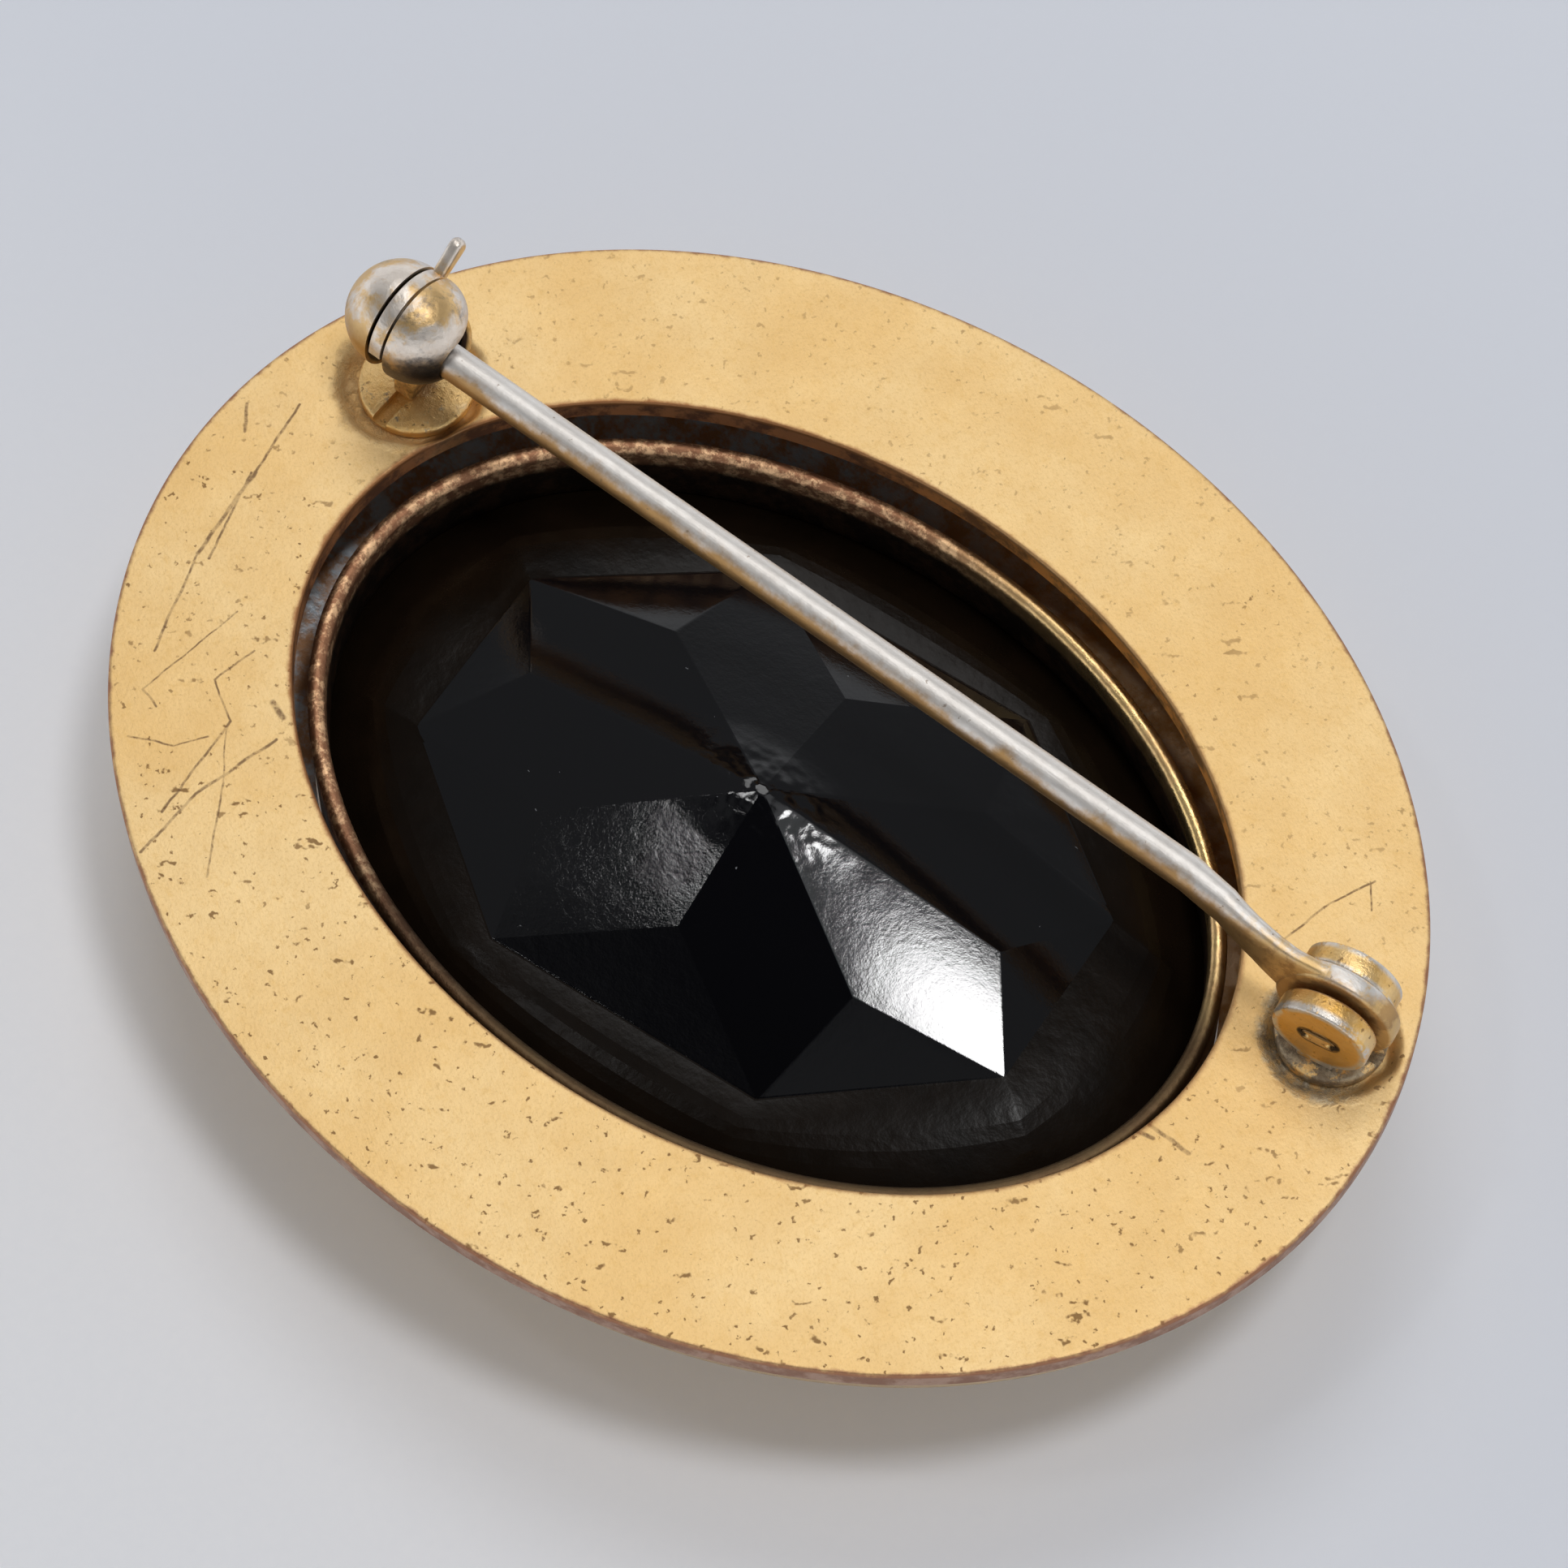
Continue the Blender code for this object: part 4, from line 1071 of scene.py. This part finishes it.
def dome(name, mat, side):
    """Half a hollow ball about X: the half nearest the hinge if side is 1, the other if it is -1."""
    steps = 24
    profile = []
    for radius, order in ((BALL_RADIUS, range(steps, -1, -1)), (BALL_RADIUS - DOME_WALL, range(steps + 1))):
        for i in order:
            t = math.pi / 2 * i / steps
            across = radius * cos(t) if i < steps else 0
            profile.append((across, side * (RIM_OFFSET + radius * sin(t))))
    return finish_mesh(name, turned(profile), mat, AT_BALL)


def rotor_outline():
    """The rotor seen along X, locked: a slotted washer with a rim over part of it."""
    half = ROTOR_SLOT / 2
    slot = 360 - ROTOR_OPEN
    at_core = math.degrees(math.asin(half / ROTOR_CORE))
    at_hole = math.degrees(math.asin(half / ROTOR_HOLE))
    return [
        *arc(ROTOR_RIM, RIM_START, RIM_END, 72),
        *arc(ROTOR_CORE, RIM_END, slot - at_core, 20),
        *arc(ROTOR_HOLE, slot - at_hole, at_hole - ROTOR_OPEN, 40),
        *arc(ROTOR_CORE, at_core - ROTOR_OPEN, RIM_START, 2),
    ]


def catch():
    """The slotted base, the leg, the two domes, and the rotor with its lever."""
    plain = solder_look("catch_base_solder", 0.12)
    foot = Matrix.Translation((BALL.x, BALL.y, 0))
    radius = (CATCH_BASE_HIGH.x - CATCH_BASE_LOW.x) / 2
    base_top = CATCH_BASE_HIGH.z
    rounded = disc(radius, CATCH_BASE_LOW.z, base_top, CATCH_BASE_EDGE)
    base = finish_mesh("catch_base_disc", rounded, plain, foot)
    half = CATCH_BASE_SLOT / 2
    slot = box((-half, -2 * radius, base_top - CATCH_SLOT_DEPTH), (half, -LEG_WIDTH / 2, PLATE_TOP + half))
    cut(base, slot, foot)
    piece(base, "catch_base")

    side = LEG_WIDTH / 2
    top = BALL_RADIUS + SEAT_GAP
    low = base_top + HAIR - BALL.z
    web = arc(LEG_REACH, 270 - LEG_SPREAD, 270 + LEG_SPREAD, 12)
    web += [(side, -top), (side, -top - LEG_THICK), (-side, -top - LEG_THICK), (-side, -top)]
    look, colour, roughness = small_gold_look("catch_leg_brown", 1.0, 0.1)
    stain = look.patches(0.9, 4, 0.7, 0.36, 0.58)
    brown = look.done(look.mix(look.both(stain, 0.88), colour, (0.15, 0.08, 0.04)), roughness)
    leg = finish_mesh("catch_leg_post", slab(web[::-1], -ROTOR_THICK / 2, ROTOR_THICK / 2), brown, AT_BALL)
    wide = side + LEG_FLARE
    post = [(-side, -top), (side, -top), (wide, low), (-wide, low)]
    block = finish_mesh("post", slab(post, -LEG_THICK / 2, LEG_THICK / 2), place=AT_BALL)
    bevel(block, LEG_EDGE, 3, 40)
    boolean(leg, block, "UNION")
    piece(leg, "catch_leg")

    worn = dome_look()
    piece(dome("end_dome_worn", worn, -1), "catch_end_dome")
    cup = dome("pin_cup_worn", worn, 1)
    far, way = 2 * BALL_RADIUS, CUP_MOUTH / 2
    at_pin = Matrix.Translation((BALL.x, PIN_Y + MOUTH_SHIFT, PIN_Z + MOUTH_SHIFT)) @ ABOUT_X
    at_pin = at_pin @ Matrix.Rotation(MOUTH_RISE, 4, "Z")
    cut(cup, disc(way, RIM_OFFSET / 2, far), at_pin)
    cut(cup, box((0, -way, 0), (far, way, far)), at_pin)
    piece(cup, "catch_pin_cup")

    look, colour, roughness = mottled_look("rotor_worn_and_shaded", 0.45)
    # painted shade: the rotor is painted near black inside the ball, leaving its rim and lever
    colour = look.mix(look.step(look.from_axis(), 1.62, 1.45), colour, (0.04, 0.025, 0.016))
    thick = ROTOR_THICK / 2
    worn = look.done(colour, roughness)
    rotor = finish_mesh("rotor_lever", slab(rotor_outline(), -thick, thick), worn, AT_BALL)
    bevel(rotor, ROTOR_EDGE, 4)
    bar, neck = LEVER_WIDTH / 2, LEVER_NECK / 2
    lever = [(ROTOR_CORE, -neck), *arc(bar, -90, 90, 20, (LEVER_LENGTH - bar, 0)), (ROTOR_CORE, neck)]
    turned_place = AT_BALL @ Matrix.Rotation(LEVER_ANGLE, 4, "Z")
    thin = LEVER_THINNING * thick
    arm = finish_mesh("lever", slab(lever, -thin, thin), place=turned_place)
    bevel(arm, LEVER_EDGE, 6)
    boolean(rotor, arm, "UNION")
    piece(rotor, "catch_rotor", body="rotor")


# ---- camera and light

def camera():
    """Looks down at the plate from the near side, turned a little."""
    out = Vector((cos(CAMERA_RISE) * sin(CAMERA_TURN),
                  -cos(CAMERA_RISE) * cos(CAMERA_TURN), sin(CAMERA_RISE)))
    right = (-out).cross(Vector((0, 0, 1))).normalized()
    up = right.cross(-out)
    across = right * cos(CAMERA_ROLL) + up * sin(CAMERA_ROLL)
    above = up * cos(CAMERA_ROLL) - right * sin(CAMERA_ROLL)
    data = bpy.data.cameras.new("camera")
    data.lens = LENS
    data.sensor_width = SENSOR
    data.clip_start = CAMERA_NEAR
    cam = add_object("camera", data)
    at = Vector((0, 0, PLATE_TOP)) + out * CAMERA_DISTANCE + across * CAMERA_PAN
    cam.matrix_world = Matrix.Translation(at) @ Matrix((across, above, out)).transposed().to_4x4()
    bpy.context.scene.camera = cam


def softbox(name, direction, width, radiance):
    """A round light that faces the brooch. Its power is pi times its area times its radiance."""
    data = bpy.data.lights.new(name, "AREA")
    data.shape = "DISK"
    data.size = width
    data.energy = radiance * math.pi * math.pi * width ** 2 / 4
    lamp = add_object(name, data)
    toward = Vector(direction).normalized()
    turn = toward.to_track_quat("Z", "Y").to_matrix().to_4x4()
    lamp.matrix_world = Matrix.Translation(toward * LIGHT_DISTANCE) @ turn


def sky(tree):
    """Bright walls, a dim ceiling, a soft glow round the key, and one dark patch."""
    def node(kind, operation, *values):
        made = tree.nodes.new(kind)
        if operation:
            made.operation = operation
        for socket, value in zip(made.inputs, values):
            if isinstance(value, bpy.types.NodeSocket):
                tree.links.new(value, socket)
            else:
                socket.default_value = value
        return made

    def ramp(value, low, high, start, end):
        made = node("ShaderNodeMapRange", None, value, low, high, start, end)
        made.interpolation_type = "SMOOTHSTEP"
        return made.outputs[0]

    direction = tree.nodes.new("ShaderNodeTexCoord").outputs["Generated"]
    height = node("ShaderNodeSeparateXYZ", None, direction).outputs[2]
    facing = []
    for towards in (GLOW_TOWARDS, DARK_TOWARDS):
        facing.append(node("ShaderNodeVectorMath", "DOT_PRODUCT", direction, towards).outputs["Value"])
    level = ramp(height, 0.2, 0.52, 1.3, 0.2)
    glow = ramp(facing[0], 0.965, 0.992, 0.0, 0.8)
    dark = ramp(facing[1], 0.955, 0.988, 1.0, 0.05)
    level = node("ShaderNodeMath", "ADD", level, glow).outputs[0]
    level = node("ShaderNodeMath", "MULTIPLY", level, dark).outputs[0]
    background = tree.nodes["Background"]
    background.inputs[0].default_value = SKY_TINT
    tree.links.new(level, background.inputs[1])


def studio():
    """The sky, the three round lights and a pale floor with painted light, paler towards its near side."""
    scene = bpy.context.scene
    scene.view_settings.view_transform = "Standard"
    world = bpy.data.worlds.new("studio")
    world.use_nodes = True
    scene.world = world
    sky(world.node_tree)
    for light in LIGHTS:
        softbox(*light)

    bm = bmesh.new()
    bmesh.ops.create_grid(bm, x_segments=1, y_segments=1, size=FLOOR_SIZE)
    look = Look("pale_floor", metallic=0.0)
    # painted light: the floor is painted paler towards its near side and a little towards the catch's end
    painted_floor_light = look.step(look.plus(look.both(look.x, -0.18), look.both(look.y, -1.0)), -10, 30)
    weave = look.both(look.noise(2.2, 4, 0.7), 0.25)
    colour = look.mix(painted_floor_light, (0.82, 0.85, 0.925), (0.95, 0.955, 0.985))
    floor = finish_mesh("floor", bm, look.done(look.mix(weave, colour, (0.78, 0.80, 0.87)), 0.6))
    floor.location.z = STONE_LOW.z - HAIR


back_plate()
front_shell()
bezel_collar()
stone()
pin_stem()
hinge()
catch()
camera()
studio()
